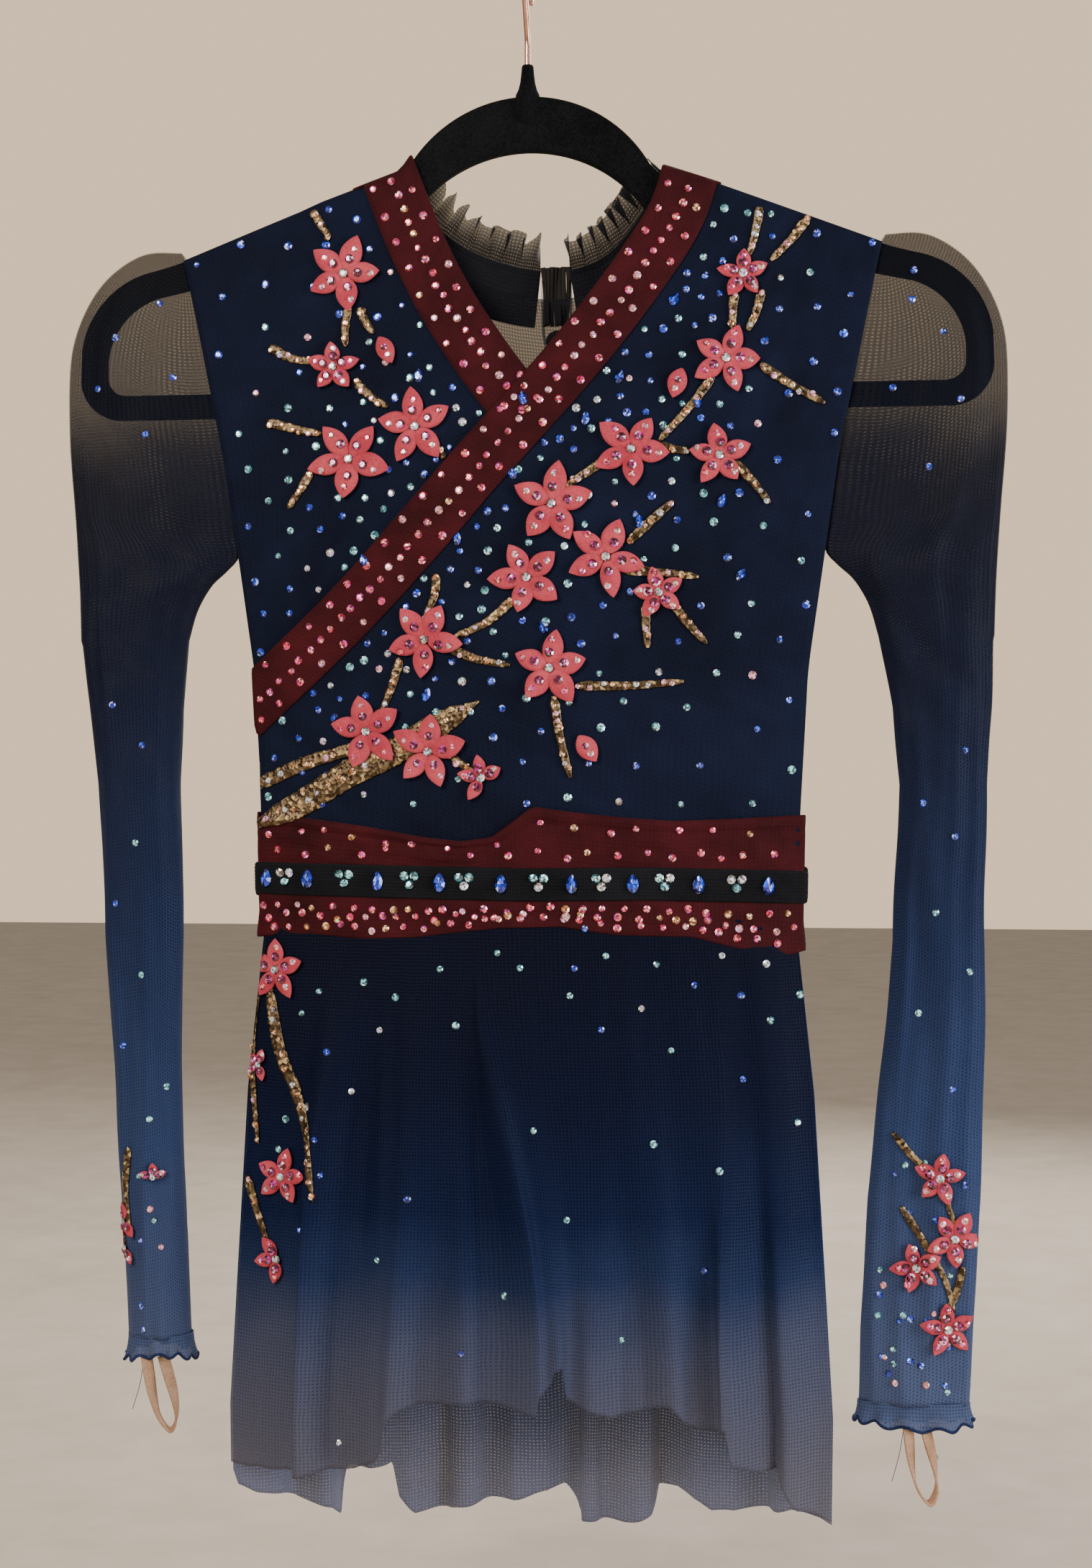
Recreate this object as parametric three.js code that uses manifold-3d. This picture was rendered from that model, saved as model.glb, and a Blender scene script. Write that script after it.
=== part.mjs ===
// A kimono-style skating dress on a slim flocked hanger: wrap bodice with neck bands, waist sash,
// long stirrup sleeves, two-layer skirt with briefs inside, and blossom and branch appliques.
// Millimetres, +Z up, the dress faces -Y. The origin is where the rail sits inside the hanger's hook.
import * as THREE from 'three';
import { mergeVertices } from 'three/addons/utils/BufferGeometryUtils.js';
import Module from 'manifold-3d';

const wasm = await Module();
wasm.setup();

// ---- driving dimensions ----
const FIT = 0.35; // clearance between cloth and what it touches
const CLOTH = 0.9; // cloth thickness
const LAYER = 1.3; // step from one layer of cloth to the next

const HANGER_HALF = 224; // hanger centre to the tip of an arm
const HANGER_THICK = 5.5;
const ARCH_TOP = -76;
const ARCH_OUTER_R = 69;
const ARCH_INNER_TOP = -103;
const ARCH_INNER_R = 70.5;
const ARM_SLOPE = 0.346;
const ARM_START_X = 64;
const ARM_END_X = 176;
const BAR_TOP = -218;
const BAR_BOTTOM = -230;
const WIRE_R = 1.5;
const HOOK_R = 17; // centre line of the hook's bend
const HOOK_DROP = 10; // how far the open tip comes down past the bend's centre
const BOSS_TOP = -61;
const STEM_END = -82;
const STEM_HEAD_R = 2.6;

const ARMHOLE_TOP_Z = -152;
const UNDERARM_Z = -306;
const WAIST_Z = -476;
const BODICE_DEPTH = 18; // how far the cloth stands off the mid plane at the middle of the bodice
const SKIRT_DEPTH = 30;
const BAND_WIDTH = 27;
const SASH_TOP_Z = -427;
const SASH_BOTTOM_Z = -487;
const SASH_CORD_TOP_Z = -451;
const SASH_CORD_HEIGHT = 15;
const SASH_CORD_THICK = 3;
const SLEEVE_JOIN_Z = -320;
const SLEEVE_SWING = 20; // degrees each way
const CUFF_HEM = 9;
const FINGER_LOOP_DROP = 36;
const FINGER_LOOP_WIDTH = 17;
const ELASTIC_WIDTH = 3.2;
const ELASTIC_THICK = 1.2;
const BRIEFS_HALF = 126;
const BRIEFS_DEPTH = 11;
const BRIEFS_LEG_Z = -522; // top of the leg opening at the side
const CROTCH_Z = -650;
const CROTCH_HALF = 30;
const APPLIQUE = 0.8;
const BRANCH = 0.5;
const BUTTON_R = 5.5;

const GROUP = new THREE.Group();

// ---- materials ----
const LOOKS = {
  flock: [0x0b0b0d, 1, 0],
  wire: [0xc98f78, 0.25, 1],
  navy: [0x10162c, 0.75, 0],
  maroon: [0x55171d, 0.8, 0],
  black: [0x08080c, 0.8, 0],
  mesh: [0x16224a, 0.7, 0],
  elastic: [0xb98a6a, 0.7, 0],
  clear: [0xd8d4d0, 0.3, 0],
  skirt: [0x17265c, 0.6, 0],
  petal: [0xdc6f78, 0.7, 0],
  bark: [0x7a5a3c, 0.5, 0.3],
};

function material(look) {
  const [color, roughness, metalness] = LOOKS[look];
  return new THREE.MeshStandardMaterial({ color, roughness, metalness });
}

// ---- solids ----
function solid(geometry) {
  const bare = geometry.index ? geometry.toNonIndexed() : geometry.clone();
  bare.deleteAttribute('normal');
  bare.deleteAttribute('uv');
  const merged = mergeVertices(bare, 1e-4);
  return new wasm.Manifold(new wasm.Mesh({
    numProp: 3,
    vertProperties: merged.attributes.position.array,
    triVerts: new Uint32Array(merged.index.array),
  }));
}

function add(name, body, look, parent = GROUP) {
  const { vertProperties, triVerts, numProp } = body.getMesh();
  const points = new Float32Array((vertProperties.length / numProp) * 3);
  for (let i = 0; i < points.length / 3; i += 1) {
    for (let k = 0; k < 3; k += 1) points[i * 3 + k] = vertProperties[i * numProp + k];
  }
  const geometry = new THREE.BufferGeometry();
  geometry.setAttribute('position', new THREE.BufferAttribute(points, 3));
  geometry.setIndex(Array.from(triVerts));
  geometry.computeVertexNormals();
  const mesh = new THREE.Mesh(geometry, material(look));
  mesh.name = name;
  parent.add(mesh);
  return mesh;
}

// A segmented box whose corners (0..1 each way) are carried to place(u, v, t).
function mapped(nu, nv, place) {
  const box = new THREE.BoxGeometry(1, 1, 1, nu, nv, 1);
  const at = box.attributes.position;
  for (let i = 0; i < at.count; i += 1) {
    const [x, y, z] = place(at.getX(i) + 0.5, at.getY(i) + 0.5, at.getZ(i) + 0.5);
    at.setXYZ(i, x, y, z);
  }
  const made = solid(box);
  return made.volume() < 0 ? solid(flipped(box)) : made;
}

function flipped(geometry) {
  const flat = geometry.toNonIndexed();
  const at = flat.attributes.position;
  for (let i = 0; i < at.count; i += 3) {
    const [x, y, z] = [at.getX(i), at.getY(i), at.getZ(i)];
    at.setXYZ(i, at.getX(i + 1), at.getY(i + 1), at.getZ(i + 1));
    at.setXYZ(i + 1, x, y, z);
  }
  return flat;
}

// An outline of [x, z] points carried through the dress from y = low to y = high.
function prism(points, low = -80, high = 80) {
  const shape = new THREE.Shape(points.map(([x, z]) => new THREE.Vector2(x, z)));
  const geometry = new THREE.ExtrudeGeometry(shape, { depth: high - low, bevelEnabled: false });
  geometry.rotateX(Math.PI / 2);
  geometry.translate(0, high, 0);
  return solid(geometry);
}

// A solid through rings of points; every ring has as many points as the first.
function loft(rings) {
  const count = rings[0].length;
  const at = [];
  const triangle = (a, b, c) => at.push(...a, ...b, ...c);
  for (let r = 0; r + 1 < rings.length; r += 1) {
    for (let i = 0; i < count; i += 1) {
      const j = (i + 1) % count;
      triangle(rings[r][i], rings[r + 1][i], rings[r][j]);
      triangle(rings[r][j], rings[r + 1][i], rings[r + 1][j]);
    }
  }
  const last = rings[rings.length - 1];
  for (let i = 1; i + 1 < count; i += 1) {
    triangle(rings[0][0], rings[0][i], rings[0][i + 1]);
    triangle(last[0], last[i + 1], last[i]);
  }
  const geometry = new THREE.BufferGeometry();
  geometry.setAttribute('position', new THREE.BufferAttribute(new Float32Array(at), 3));
  const made = solid(geometry);
  return made.volume() < 0 ? solid(flipped(mergeVertices(geometry))) : made;
}

// A solid of square section that follows a curve.
function strap(points, wide, thick, steps, closed = false) {
  const path = new THREE.CatmullRomCurve3(points.map((p) => new THREE.Vector3(...p)), closed);
  const shape = new THREE.Shape();
  shape.moveTo(-thick / 2, -wide / 2);
  shape.lineTo(thick / 2, -wide / 2);
  shape.lineTo(thick / 2, wide / 2);
  shape.lineTo(-thick / 2, wide / 2);
  return solid(new THREE.ExtrudeGeometry(shape, { steps, extrudePath: path, bevelEnabled: false }));
}

// ---- shared shape of the dress ----
function along(table, z) {
  if (z >= table[0][0]) return table[0][1];
  for (let i = 1; i < table.length; i += 1) {
    if (z >= table[i][0]) {
      const [z0, a] = table[i - 1];
      const [z1, b] = table[i];
      return a + ((b - a) * (z0 - z)) / (z0 - z1);
    }
  }
  return table[table.length - 1][1];
}

function ease(t) {
  const s = Math.min(1, Math.max(0, t));
  return s * s * (3 - 2 * s);
}

// top edge of the hanger at x, out to the end of the arm
function hangerTop(x) {
  const off = Math.abs(x);
  if (off < ARM_START_X) {
    const arch = Math.sqrt(ARCH_OUTER_R ** 2 - Math.min(off, 60) ** 2);
    return ARCH_TOP - ARCH_OUTER_R + arch - Math.max(0, off - 60);
  }
  return ARM_START_Z - ARM_SLOPE * (Math.min(off, ARM_END_X) - ARM_START_X);
}
const ARM_START_Z = ARCH_TOP - ARCH_OUTER_R + Math.sqrt(ARCH_OUTER_R ** 2 - 60 ** 2) - 4;
const WRAP = 3.8; // height of the cloth's fold above the arm
const shoulderLine = (x) => hangerTop(x) + WRAP;

// armhole edge above the underarm, side seam below it, skirt side below the waist
const HALF_WIDTH = [
  [ARMHOLE_TOP_Z, 171], [-175, 166], [-205, 160], [-250, 151], [UNDERARM_Z, 143],
  [-355, 136], [SASH_TOP_Z, 132], [WAIST_Z, 131], [-560, 140], [-646, 145], [-717, 149], [-790, 148],
];
const DEPTH = [
  [-114, 4], [-200, 10], [UNDERARM_Z, BODICE_DEPTH], [WAIST_Z, BODICE_DEPTH],
  [-560, 22], [-640, 26], [-790, SKIRT_DEPTH],
];
const halfWidth = (z) => along(HALF_WIDTH, z);

// distance of the cloth's inner face from the mid plane
function standOff(x, z) {
  const below = shoulderLine(x) - z;
  const wrap = (HANGER_THICK / 2 + FIT) * Math.sqrt(Math.min(1, Math.max(0, below / 4)));
  const seat = 1 - ease((-270 - z) / (-270 - UNDERARM_Z));
  const across = Math.max(0, 1 - (x / halfWidth(z)) ** 2);
  const folds = 4 * Math.sin(x / 17) * ease((WAIST_Z - z) / 260);
  return FIT + wrap * seat + (along(DEPTH, z) + folds) * across * ease(below / 160);
}

const ROWS = [0, 0.004, 0.012, 0.03, 0.07, 0.14, 0.23, 0.34, 0.45, 0.57, 0.7, 0.85, 1];

// One layer of bodice cloth, front (side -1) or back (side 1), from the shoulder line to the waist.
function bodiceLayer(side, layer, columns = 16) {
  const rows = ROWS.length - 1;
  const inner = layer * LAYER;
  return mapped(columns, rows, (u, v, t) => {
    const down = ROWS[Math.round((1 - v) * rows)];
    const edge = halfWidth(ARMHOLE_TOP_Z + (WAIST_Z - ARMHOLE_TOP_Z) * down);
    const x = edge * (2 * u - 1);
    const top = shoulderLine(x);
    const z = top + (WAIST_Z - top) * down;
    return [x, side * (standOff(x, z) + inner + CLOTH * t), z];
  });
}

// One layer of skirt from under the sash to the hem, cut to its hem line afterwards.
function skirtLayer(side, bottom) {
  const top = WAIST_Z - 0.6;
  return mapped(22, 6, (u, v, t) => {
    const z = bottom + (top - bottom) * v;
    const x = halfWidth(z) * (2 * u - 1);
    return [x, side * (standOff(x, z) + CLOTH * t), z];
  });
}

// points either side of a centre line, for a band of one width
function offsetLine(points, distance) {
  return points.map(([x, z], i) => {
    const [ax, az] = points[Math.max(0, i - 1)];
    const [bx, bz] = points[Math.min(points.length - 1, i + 1)];
    const length = Math.hypot(bx - ax, bz - az);
    return [x - (distance * (bz - az)) / length, z + (distance * (bx - ax)) / length];
  });
}

function band(points, half) {
  return [...offsetLine(points, half), ...offsetLine(points, -half).reverse()];
}

// ---- hanger ----
function hangerFrame() {
  const arc = (x, z, r, from, to, n = 8) => Array.from({ length: n + 1 }, (_, i) => {
    const a = THREE.MathUtils.degToRad(from + ((to - from) * i) / n);
    return [x + r * Math.cos(a), z + r * Math.sin(a)];
  });
  const outerHalf = [
    ...arc(0, ARCH_TOP - ARCH_OUTER_R, ARCH_OUTER_R, 90, 30, 8),
    [ARM_START_X, hangerTop(ARM_START_X)],
    [ARM_END_X, hangerTop(ARM_END_X)],
    ...arc(HANGER_HALF - 46, hangerTop(ARM_END_X) - 48, 46, 80, 8, 6),
    ...arc(HANGER_HALF - 20, BAR_BOTTOM + 20, 20, 0, -90, 4),
  ];
  const innerHalf = [
    ...arc(0, ARCH_INNER_TOP - ARCH_INNER_R, ARCH_INNER_R, 90, 34, 6),
    [164, -165],
    ...arc(HANGER_HALF - 49, -204, 36, 72, 6, 4),
    ...arc(HANGER_HALF - 23, BAR_TOP + 10, 10, -10, -90, 3),
  ];
  const mirrored = (half) => half.map(([x, z]) => [-x, z]).reverse();
  const half = HANGER_THICK / 2;
  const plate = prism([...outerHalf, ...mirrored(outerHalf).slice(0, -1)], -half, half);
  const window = prism([...innerHalf, ...mirrored(innerHalf).slice(0, -1)], -10, 10);
  const profile = [
    [0, BOSS_TOP], [2.6, BOSS_TOP], [4, BOSS_TOP - 8], [6, ARCH_TOP], [6, -84], [3.5, -90], [0, -90],
  ];
  const boss = turned(profile, 20);
  const bore = turned([
    [0, BOSS_TOP + 1], [WIRE_R + FIT, BOSS_TOP + 1], [WIRE_R + FIT, STEM_END + 5 + FIT],
    [STEM_HEAD_R + FIT, STEM_END + 5 + FIT], [STEM_HEAD_R + FIT, STEM_END - FIT], [0, STEM_END - FIT],
  ], 20);
  return plate.subtract(window).add(boss).subtract(bore);
}

// A profile of [radius, z] points turned about the Z axis.
function turned(profile, segments) {
  const points = profile.map(([r, z]) => new THREE.Vector2(r, z)).reverse();
  const lathe = new THREE.LatheGeometry(points, segments);
  lathe.rotateX(Math.PI / 2);
  const made = solid(lathe);
  return made.volume() < 0 ? solid(flipped(lathe)) : made;
}

// The open tip is at the back, so the hook goes over a rail that runs from side to side.
function hangerHook() {
  const centre = WIRE_R - HOOK_R;
  const bend = Array.from({ length: 13 }, (_, i) => {
    const a = THREE.MathUtils.degToRad(180 - 15 * i);
    return new THREE.Vector3(0, -HOOK_R * Math.cos(a), centre + HOOK_R * Math.sin(a));
  });
  const path = new THREE.CurvePath();
  const tip = new THREE.Vector3(0, HOOK_R, centre - HOOK_DROP);
  path.add(new THREE.LineCurve3(tip, bend[0]));
  path.add(new THREE.CatmullRomCurve3(bend));
  path.add(new THREE.CatmullRomCurve3([
    bend[12], new THREE.Vector3(0, 1 - HOOK_R, centre - 8), new THREE.Vector3(0, 9 - HOOK_R, centre - 20),
    new THREE.Vector3(0, -1, centre - 31), new THREE.Vector3(0, 0, BOSS_TOP + 6),
    new THREE.Vector3(0, 0, STEM_END + 4),
  ]));
  const circle = new THREE.Shape().absarc(0, 0, WIRE_R, 0, 2 * Math.PI);
  const wire = new THREE.ExtrudeGeometry(circle, {
    steps: 30, curveSegments: 4, extrudePath: path, bevelEnabled: false,
  });
  const headTop = STEM_END + 5;
  const head = turned([[0, headTop], [STEM_HEAD_R, headTop], [STEM_HEAD_R, STEM_END], [0, STEM_END]], 14);
  return solid(wire).add(head);
}

add('hanger_frame', hangerFrame(), 'flock');
add('hanger_hook', hangerHook(), 'wire');

// ---- bodice ----
const OVER_LINE = [
  [81, -105], [78, -122], [71, -140], [57, -162], [39, -187], [20, -211], [-2, -236],
  [-22, -258], [-55, -295], [-90, -331], [-142, -377],
];
const UNDER_LINE = [[-74, -98], [-68, -112], [-55, -145], [-40, -175], [-22, -203], [-8, -222], [12, -246]];
const FRONT_INNER = bodiceLayer(-1, 0);
const FRONT_OUTER = bodiceLayer(-1, 1);
const BACK = bodiceLayer(1, 0);
const HALF_BAND = BAND_WIDTH / 2;

add('neck_band_over', FRONT_OUTER.intersect(prism(band(OVER_LINE, HALF_BAND), -80, 0)), 'maroon');
add('neck_band_under', FRONT_INNER.intersect(prism(band(UNDER_LINE, HALF_BAND), -80, 0)), 'maroon');
const overEdge = offsetLine(OVER_LINE, HALF_BAND + FIT);
const overPanel = [...overEdge, [-200, -430], [-200, -500], [200, -500], [200, -90]];
add('bodice_front_over', FRONT_OUTER.intersect(prism(overPanel, -80, 0)), 'navy');
const underEdge = offsetLine(UNDER_LINE, -HALF_BAND - FIT);
const underPanel = [...underEdge, [24, -300], [60, -500], [-200, -500], [-200, -90]];
add('bodice_front_under', FRONT_INNER.intersect(prism(underPanel, -80, 0)), 'navy');

// back: a collar in two ends, a sheer yoke with a keyhole, and two halves below it
const BACK_CENTRE = 13; // the closing line lies a little off the middle
const COLLAR_GAP = 16; // between the two collar ends
const COLLAR_HALF = 12;
const RUFFLE = 8;
const YOKE_DROP = 62; // yoke below the collar
const HALF_COLLAR_LINE = [[-90, -96], [-82, -114], [-66, -138], [-46, -158], [-24, -169], [0, -173]];
const KEYHOLE = [[-10, -200], [-14, -212], [-10, -222], [-5, -212]];
const mirror = (points) => points.map(([x, z]) => [-x, z]).reverse();
const shifted = (points) => points.map(([x, z]) => [x + BACK_CENTRE, z]);
const COLLAR_LEFT = shifted(HALF_COLLAR_LINE);
const COLLAR_RIGHT = shifted(mirror(HALF_COLLAR_LINE));
const COLLAR_LINE = [...COLLAR_LEFT.slice(0, -1), ...COLLAR_RIGHT];
const FAR = 210;

function sidePlane(side, edge) {
  const near = BACK_CENTRE + side * edge;
  const far = side * FAR;
  return prism([[near, -60], [far, -60], [far, -520], [near, -520]]);
}

function backPiece(outline, side = 0, edge = 0) {
  const cut = BACK.intersect(prism(outline, 0));
  return side === 0 ? cut : cut.intersect(sidePlane(side, edge));
}

// wavy strip along the collar's upper edge
function ruffleOutline() {
  const line = COLLAR_LINE.slice(2, -2);
  const near = offsetLine(line, COLLAR_HALF + FIT);
  const far = offsetLine(line, COLLAR_HALF + RUFFLE).map((p) => new THREE.Vector2(...p));
  const fine = new THREE.SplineCurve(far);
  const away = fine.getPoints(36).map((p, i) => [p.x, p.y + 1.6 * Math.cos(i * 1.7)]);
  return [...near, ...away.reverse()];
}

const collarOutline = band(COLLAR_LINE, COLLAR_HALF);
const yokeTop = offsetLine(COLLAR_LINE, -COLLAR_HALF - FIT);
const yokeBottom = yokeTop.map(([x, z]) => [x, z - YOKE_DROP]);
const yokeLow = yokeBottom.map(([x, z]) => [x, z - FIT]);
yokeLow[0][0] -= FIT;
yokeLow[yokeLow.length - 1][0] += FIT;
const belowYoke = [
  [yokeLow[0][0], -80], ...yokeLow, [yokeLow[yokeLow.length - 1][0], -80],
  [FAR, -80], [FAR, -500], [-FAR, -500], [-FAR, -80],
];
for (const [side, word] of [[-1, 'left'], [1, 'right']]) {
  add(`back_collar_${word}`, backPiece(collarOutline, side, COLLAR_GAP / 2), 'black');
  add(`collar_ruffle_${word}`, backPiece(ruffleOutline(), side, COLLAR_GAP / 2), 'black');
  add(`bodice_back_${word}`, backPiece(belowYoke, side, FIT / 2), 'navy');
}
add('back_yoke', backPiece([...yokeTop, ...yokeBottom.reverse()]).subtract(prism(KEYHOLE)), 'mesh');

// a covered button on the yoke and the clear loop that comes down to it from the collar ends
const BUTTON_Z = -193;
const behind = (x, z, gap) => standOff(x, z) + CLOTH + FIT + gap;
const button = new THREE.CylinderGeometry(BUTTON_R, BUTTON_R * 0.8, 3, 16);
button.translate(BACK_CENTRE, behind(BACK_CENTRE, BUTTON_Z - BUTTON_R, 1.6), BUTTON_Z);
add('back_button', solid(button), 'navy');
const LOOP_HALF = BUTTON_R + 1.2;
const LOOP_TOP_Z = -163;
const loopPoints = [
  [-LOOP_HALF, LOOP_TOP_Z], [-LOOP_HALF, LOOP_TOP_Z - 14], [-LOOP_HALF, BUTTON_Z],
  [0, BUTTON_Z - LOOP_HALF - 1], [LOOP_HALF, BUTTON_Z], [LOOP_HALF, LOOP_TOP_Z - 14], [LOOP_HALF, LOOP_TOP_Z],
];
const loopPath = loopPoints.map(([x, z]) => [BACK_CENTRE + x, behind(BACK_CENTRE + x, z, 0.7), z]);
add('button_loop', strap(loopPath, 1, 1, 24), 'clear');

// ---- sash: three bands that run right round the waist ----
function lensRing(z, off, half = halfWidth(z), depth = along(DEPTH, z), points = 14) {
  const side = (sign) => Array.from({ length: points + 1 }, (_, i) => {
    const u = -1 + (2 * i) / points;
    return [(half + off) * u, sign * (FIT + off + depth * (1 - u * u)), z];
  });
  return [...side(-1), ...side(1).reverse()];
}

function girdle(top, bottom, inner, outer, lip = () => 0) {
  const levels = [0, 0.5, 1].map((f) => top + (bottom - top) * f);
  const rings = (off, over) => levels.map((z, i) => lensRing(z + over * (1 - i), off));
  const shaped = rings(outer, 0).map((ring) => ring.map(([x, y, z]) => [x, y, z + (z === top ? lip(x) : 0)]));
  return loft(shaped).subtract(loft(rings(inner, 8)));
}

const SASH_INNER = 2 * LAYER + FIT;
const SASH_OUTER = SASH_INNER + 1.2;
const CORD_BOTTOM_Z = SASH_CORD_TOP_Z - SASH_CORD_HEIGHT;
const peak = (x) => 6 * Math.exp(-(((x - 6) / 14) ** 2)) - 6 * Math.exp(-(((x + 28) / 26) ** 2));
add('sash_upper', girdle(SASH_TOP_Z, SASH_CORD_TOP_Z + FIT, SASH_INNER, SASH_OUTER, peak), 'maroon');
add('sash_cord', girdle(SASH_CORD_TOP_Z, CORD_BOTTOM_Z, SASH_INNER, SASH_INNER + SASH_CORD_THICK), 'black');
add('sash_lower', girdle(CORD_BOTTOM_Z - FIT, SASH_BOTTOM_Z, SASH_INNER, SASH_OUTER), 'maroon');

// ---- skirt and briefs ----
const frontHem = [
  [-160, -748], [-96, -746], [-94, -742], [-78, -742], [-66, -735], [-54, -712], [-44, -707], [-1, -710],
  [2, -700], [12, -688], [20, -702], [40, -712], [54, -706], [70, -716], [92, -718], [101, -715],
  [104, -735], [120, -738], [128, -758], [160, -768],
];
const backHem = [
  [-160, -742], [-139, -762], [-94, -773], [-88, -780], [-84, -758], [-68, -750], [-60, -777], [-30, -774],
  [10, -764], [14, -779], [28, -782], [56, -776], [66, -759], [80, -767], [122, -765], [160, -768],
];
const hemCut = (hem) => prism([...hem, [160, -400], [-160, -400]]);
add('skirt_front', skirtLayer(-1, -776).intersect(hemCut(frontHem)), 'skirt');
add('skirt_back', skirtLayer(1, -790).intersect(hemCut(backHem)), 'skirt');

const BRIEFS_TOP_Z = WAIST_Z - 8;
const briefsHalf = (z) => BRIEFS_HALF - 10 * ease((WAIST_Z - z) / 60);

// leg opening from the crotch up to the side, moved out into the opening by off
function legLine(off) {
  const curve = new THREE.QuadraticBezierCurve(
    new THREE.Vector2(CROTCH_HALF + off, CROTCH_Z - off),
    new THREE.Vector2(CROTCH_HALF + 22 + off, BRIEFS_LEG_Z - 50 - off),
    new THREE.Vector2(BRIEFS_HALF + 3, BRIEFS_LEG_Z - off),
  );
  return curve.getPoints(8).map((p) => [p.x, p.y]);
}

const briefsDepth = (x, z) => FIT + BRIEFS_DEPTH * Math.max(0, 1 - (x / briefsHalf(z)) ** 2);

function briefsLayer(side) {
  const cloth = mapped(16, 8, (u, v, t) => {
    const z = CROTCH_Z + (BRIEFS_TOP_Z - CROTCH_Z) * v;
    const x = briefsHalf(z) * (2 * u - 1);
    return [x, side * (briefsDepth(x, z) + CLOTH * t), z];
  });
  const leg = legLine(0);
  return cloth.intersect(prism([...leg, [150, -470], [-150, -470], ...mirror(leg)]));
}

add('briefs_front', briefsLayer(-1), 'navy');
add('briefs_back', briefsLayer(1), 'navy');

// the gusset joins the two panels under the crotch
function gusset() {
  const reach = briefsDepth(0, CROTCH_Z) + CLOTH;
  const shape = new THREE.Shape();
  shape.moveTo(-reach, 0);
  shape.quadraticCurveTo(0, -14, reach, 0);
  shape.lineTo(reach - CLOTH - 1, 0);
  shape.quadraticCurveTo(0, -11, CLOTH + 1 - reach, 0);
  const geometry = new THREE.ExtrudeGeometry(shape, {
    depth: 2 * CROTCH_HALF, bevelEnabled: false, curveSegments: 8,
  });
  geometry.translate(0, 0, -CROTCH_HALF);
  geometry.rotateX(Math.PI / 2);
  geometry.rotateZ(Math.PI / 2);
  geometry.translate(0, 0, CROTCH_Z - FIT);
  return solid(geometry);
}
add('crotch_gusset', gusset(), 'navy');

// ---- sleeves: a cap over the end of the hanger, then a tube that swings below it ----
function ovalRing(z, centre, half, depth, power = 2, points = 16) {
  return Array.from({ length: points }, (_, i) => {
    const a = (2 * Math.PI * i) / points;
    const c = Math.cos(a);
    const s = Math.sin(a);
    return [
      centre + half * Math.sign(c) * Math.abs(c) ** (2 / power),
      depth * Math.sign(s) * Math.abs(s) ** (2 / power),
      z,
    ];
  });
}

// [z, inner edge, outer edge, half depth] of the right cap; the left one is its mirror image
const CAP_WALL = 1.2;
const CAP = [
  [-146, 160, 188, 5.6], [-151, 150, 199, 6.8], [-160, 146, 211, 7.2], [-172, 144, 220, 7.4],
  [-188, 140, 227, 7.6], [-206, 136, 230, 7.8], [-240, 130, 230, 8.2], [-280, 126, 227, 8.8],
  [UNDERARM_Z, 140, 225, 9], [-312, 158, 224.5, 9], [SLEEVE_JOIN_Z, 167, 224, 9],
];

function sleeveCap(side) {
  const outer = loft(CAP.map(([z, a, b, d]) => ovalRing(z, side * (a + b) / 2, (b - a) / 2, d, 3)));
  const inside = CAP.map(([z, a, b, d]) => ovalRing(
    z + (z < SLEEVE_JOIN_Z + 1 ? -1 : 0) - (z > -150 ? CAP_WALL : 0),
    side * (a + b) / 2, (b - a) / 2 - CAP_WALL, d - CAP_WALL, 3,
  ));
  const heights = [ARMHOLE_TOP_Z + 12, ...HALF_WIDTH.slice(0, 5).map(([z]) => z), SLEEVE_JOIN_Z - 5];
  const armhole = heights.map((z) => [side * (halfWidth(z) + FIT), z]);
  return outer.subtract(loft(inside)).subtract(prism([...armhole, [0, -325], [0, -140]]));
}

// [z, centre, half width, half depth] down each sleeve as it hangs
const SLEEVES = {
  left: [
    [SLEEVE_JOIN_Z, -195.5, 28.5, 9], [-343, -196, 26, 10], [-411, -194, 20.5, 11], [-486, -192, 19.5, 11],
    [-550, -190, 16.5, 12], [-629, -187, 15.5, 12], [-684, -183.5, 15.5, 12],
  ],
  right: [
    [SLEEVE_JOIN_Z, 195.5, 28.5, 9], [-346, 199, 23.5, 9], [-411, 200, 20.5, 9], [-486, 198, 21.5, 8],
    [-552, 194.5, 24.5, 7.5], [-609, 191, 26.5, 7], [-672, 187.5, 26.5, 7], [-708, 186, 26, 7],
  ],
};

// V-shaped clearance that lets the sleeve's top edge swing under the cap's straight one
function swingCut() {
  const rise = Math.tan(THREE.MathUtils.degToRad(SLEEVE_SWING + 3));
  const shape = new THREE.Shape();
  shape.moveTo(0, SLEEVE_JOIN_Z - FIT);
  shape.lineTo(30, SLEEVE_JOIN_Z - FIT - 30 * rise);
  shape.lineTo(30, -290);
  shape.lineTo(-30, -290);
  shape.lineTo(-30, SLEEVE_JOIN_Z - FIT - 30 * rise);
  const geometry = new THREE.ExtrudeGeometry(shape, { depth: 600, bevelEnabled: false });
  geometry.translate(0, 0, -300);
  geometry.rotateX(Math.PI / 2);
  geometry.rotateZ(Math.PI / 2);
  return solid(geometry);
}

function sleeveTube(rows, wall, grow = 0) {
  const outer = rows.map(([z, x, w, d]) => ovalRing(z, x, w + grow, d + grow));
  const inner = rows.map(([z, x, w, d], i) => ovalRing(
    z + (i === 0 ? 5 : 0) - (i === rows.length - 1 ? 5 : 0), x, w + grow - wall, d + grow - wall,
  ));
  return loft(outer).subtract(loft(inner));
}

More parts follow.
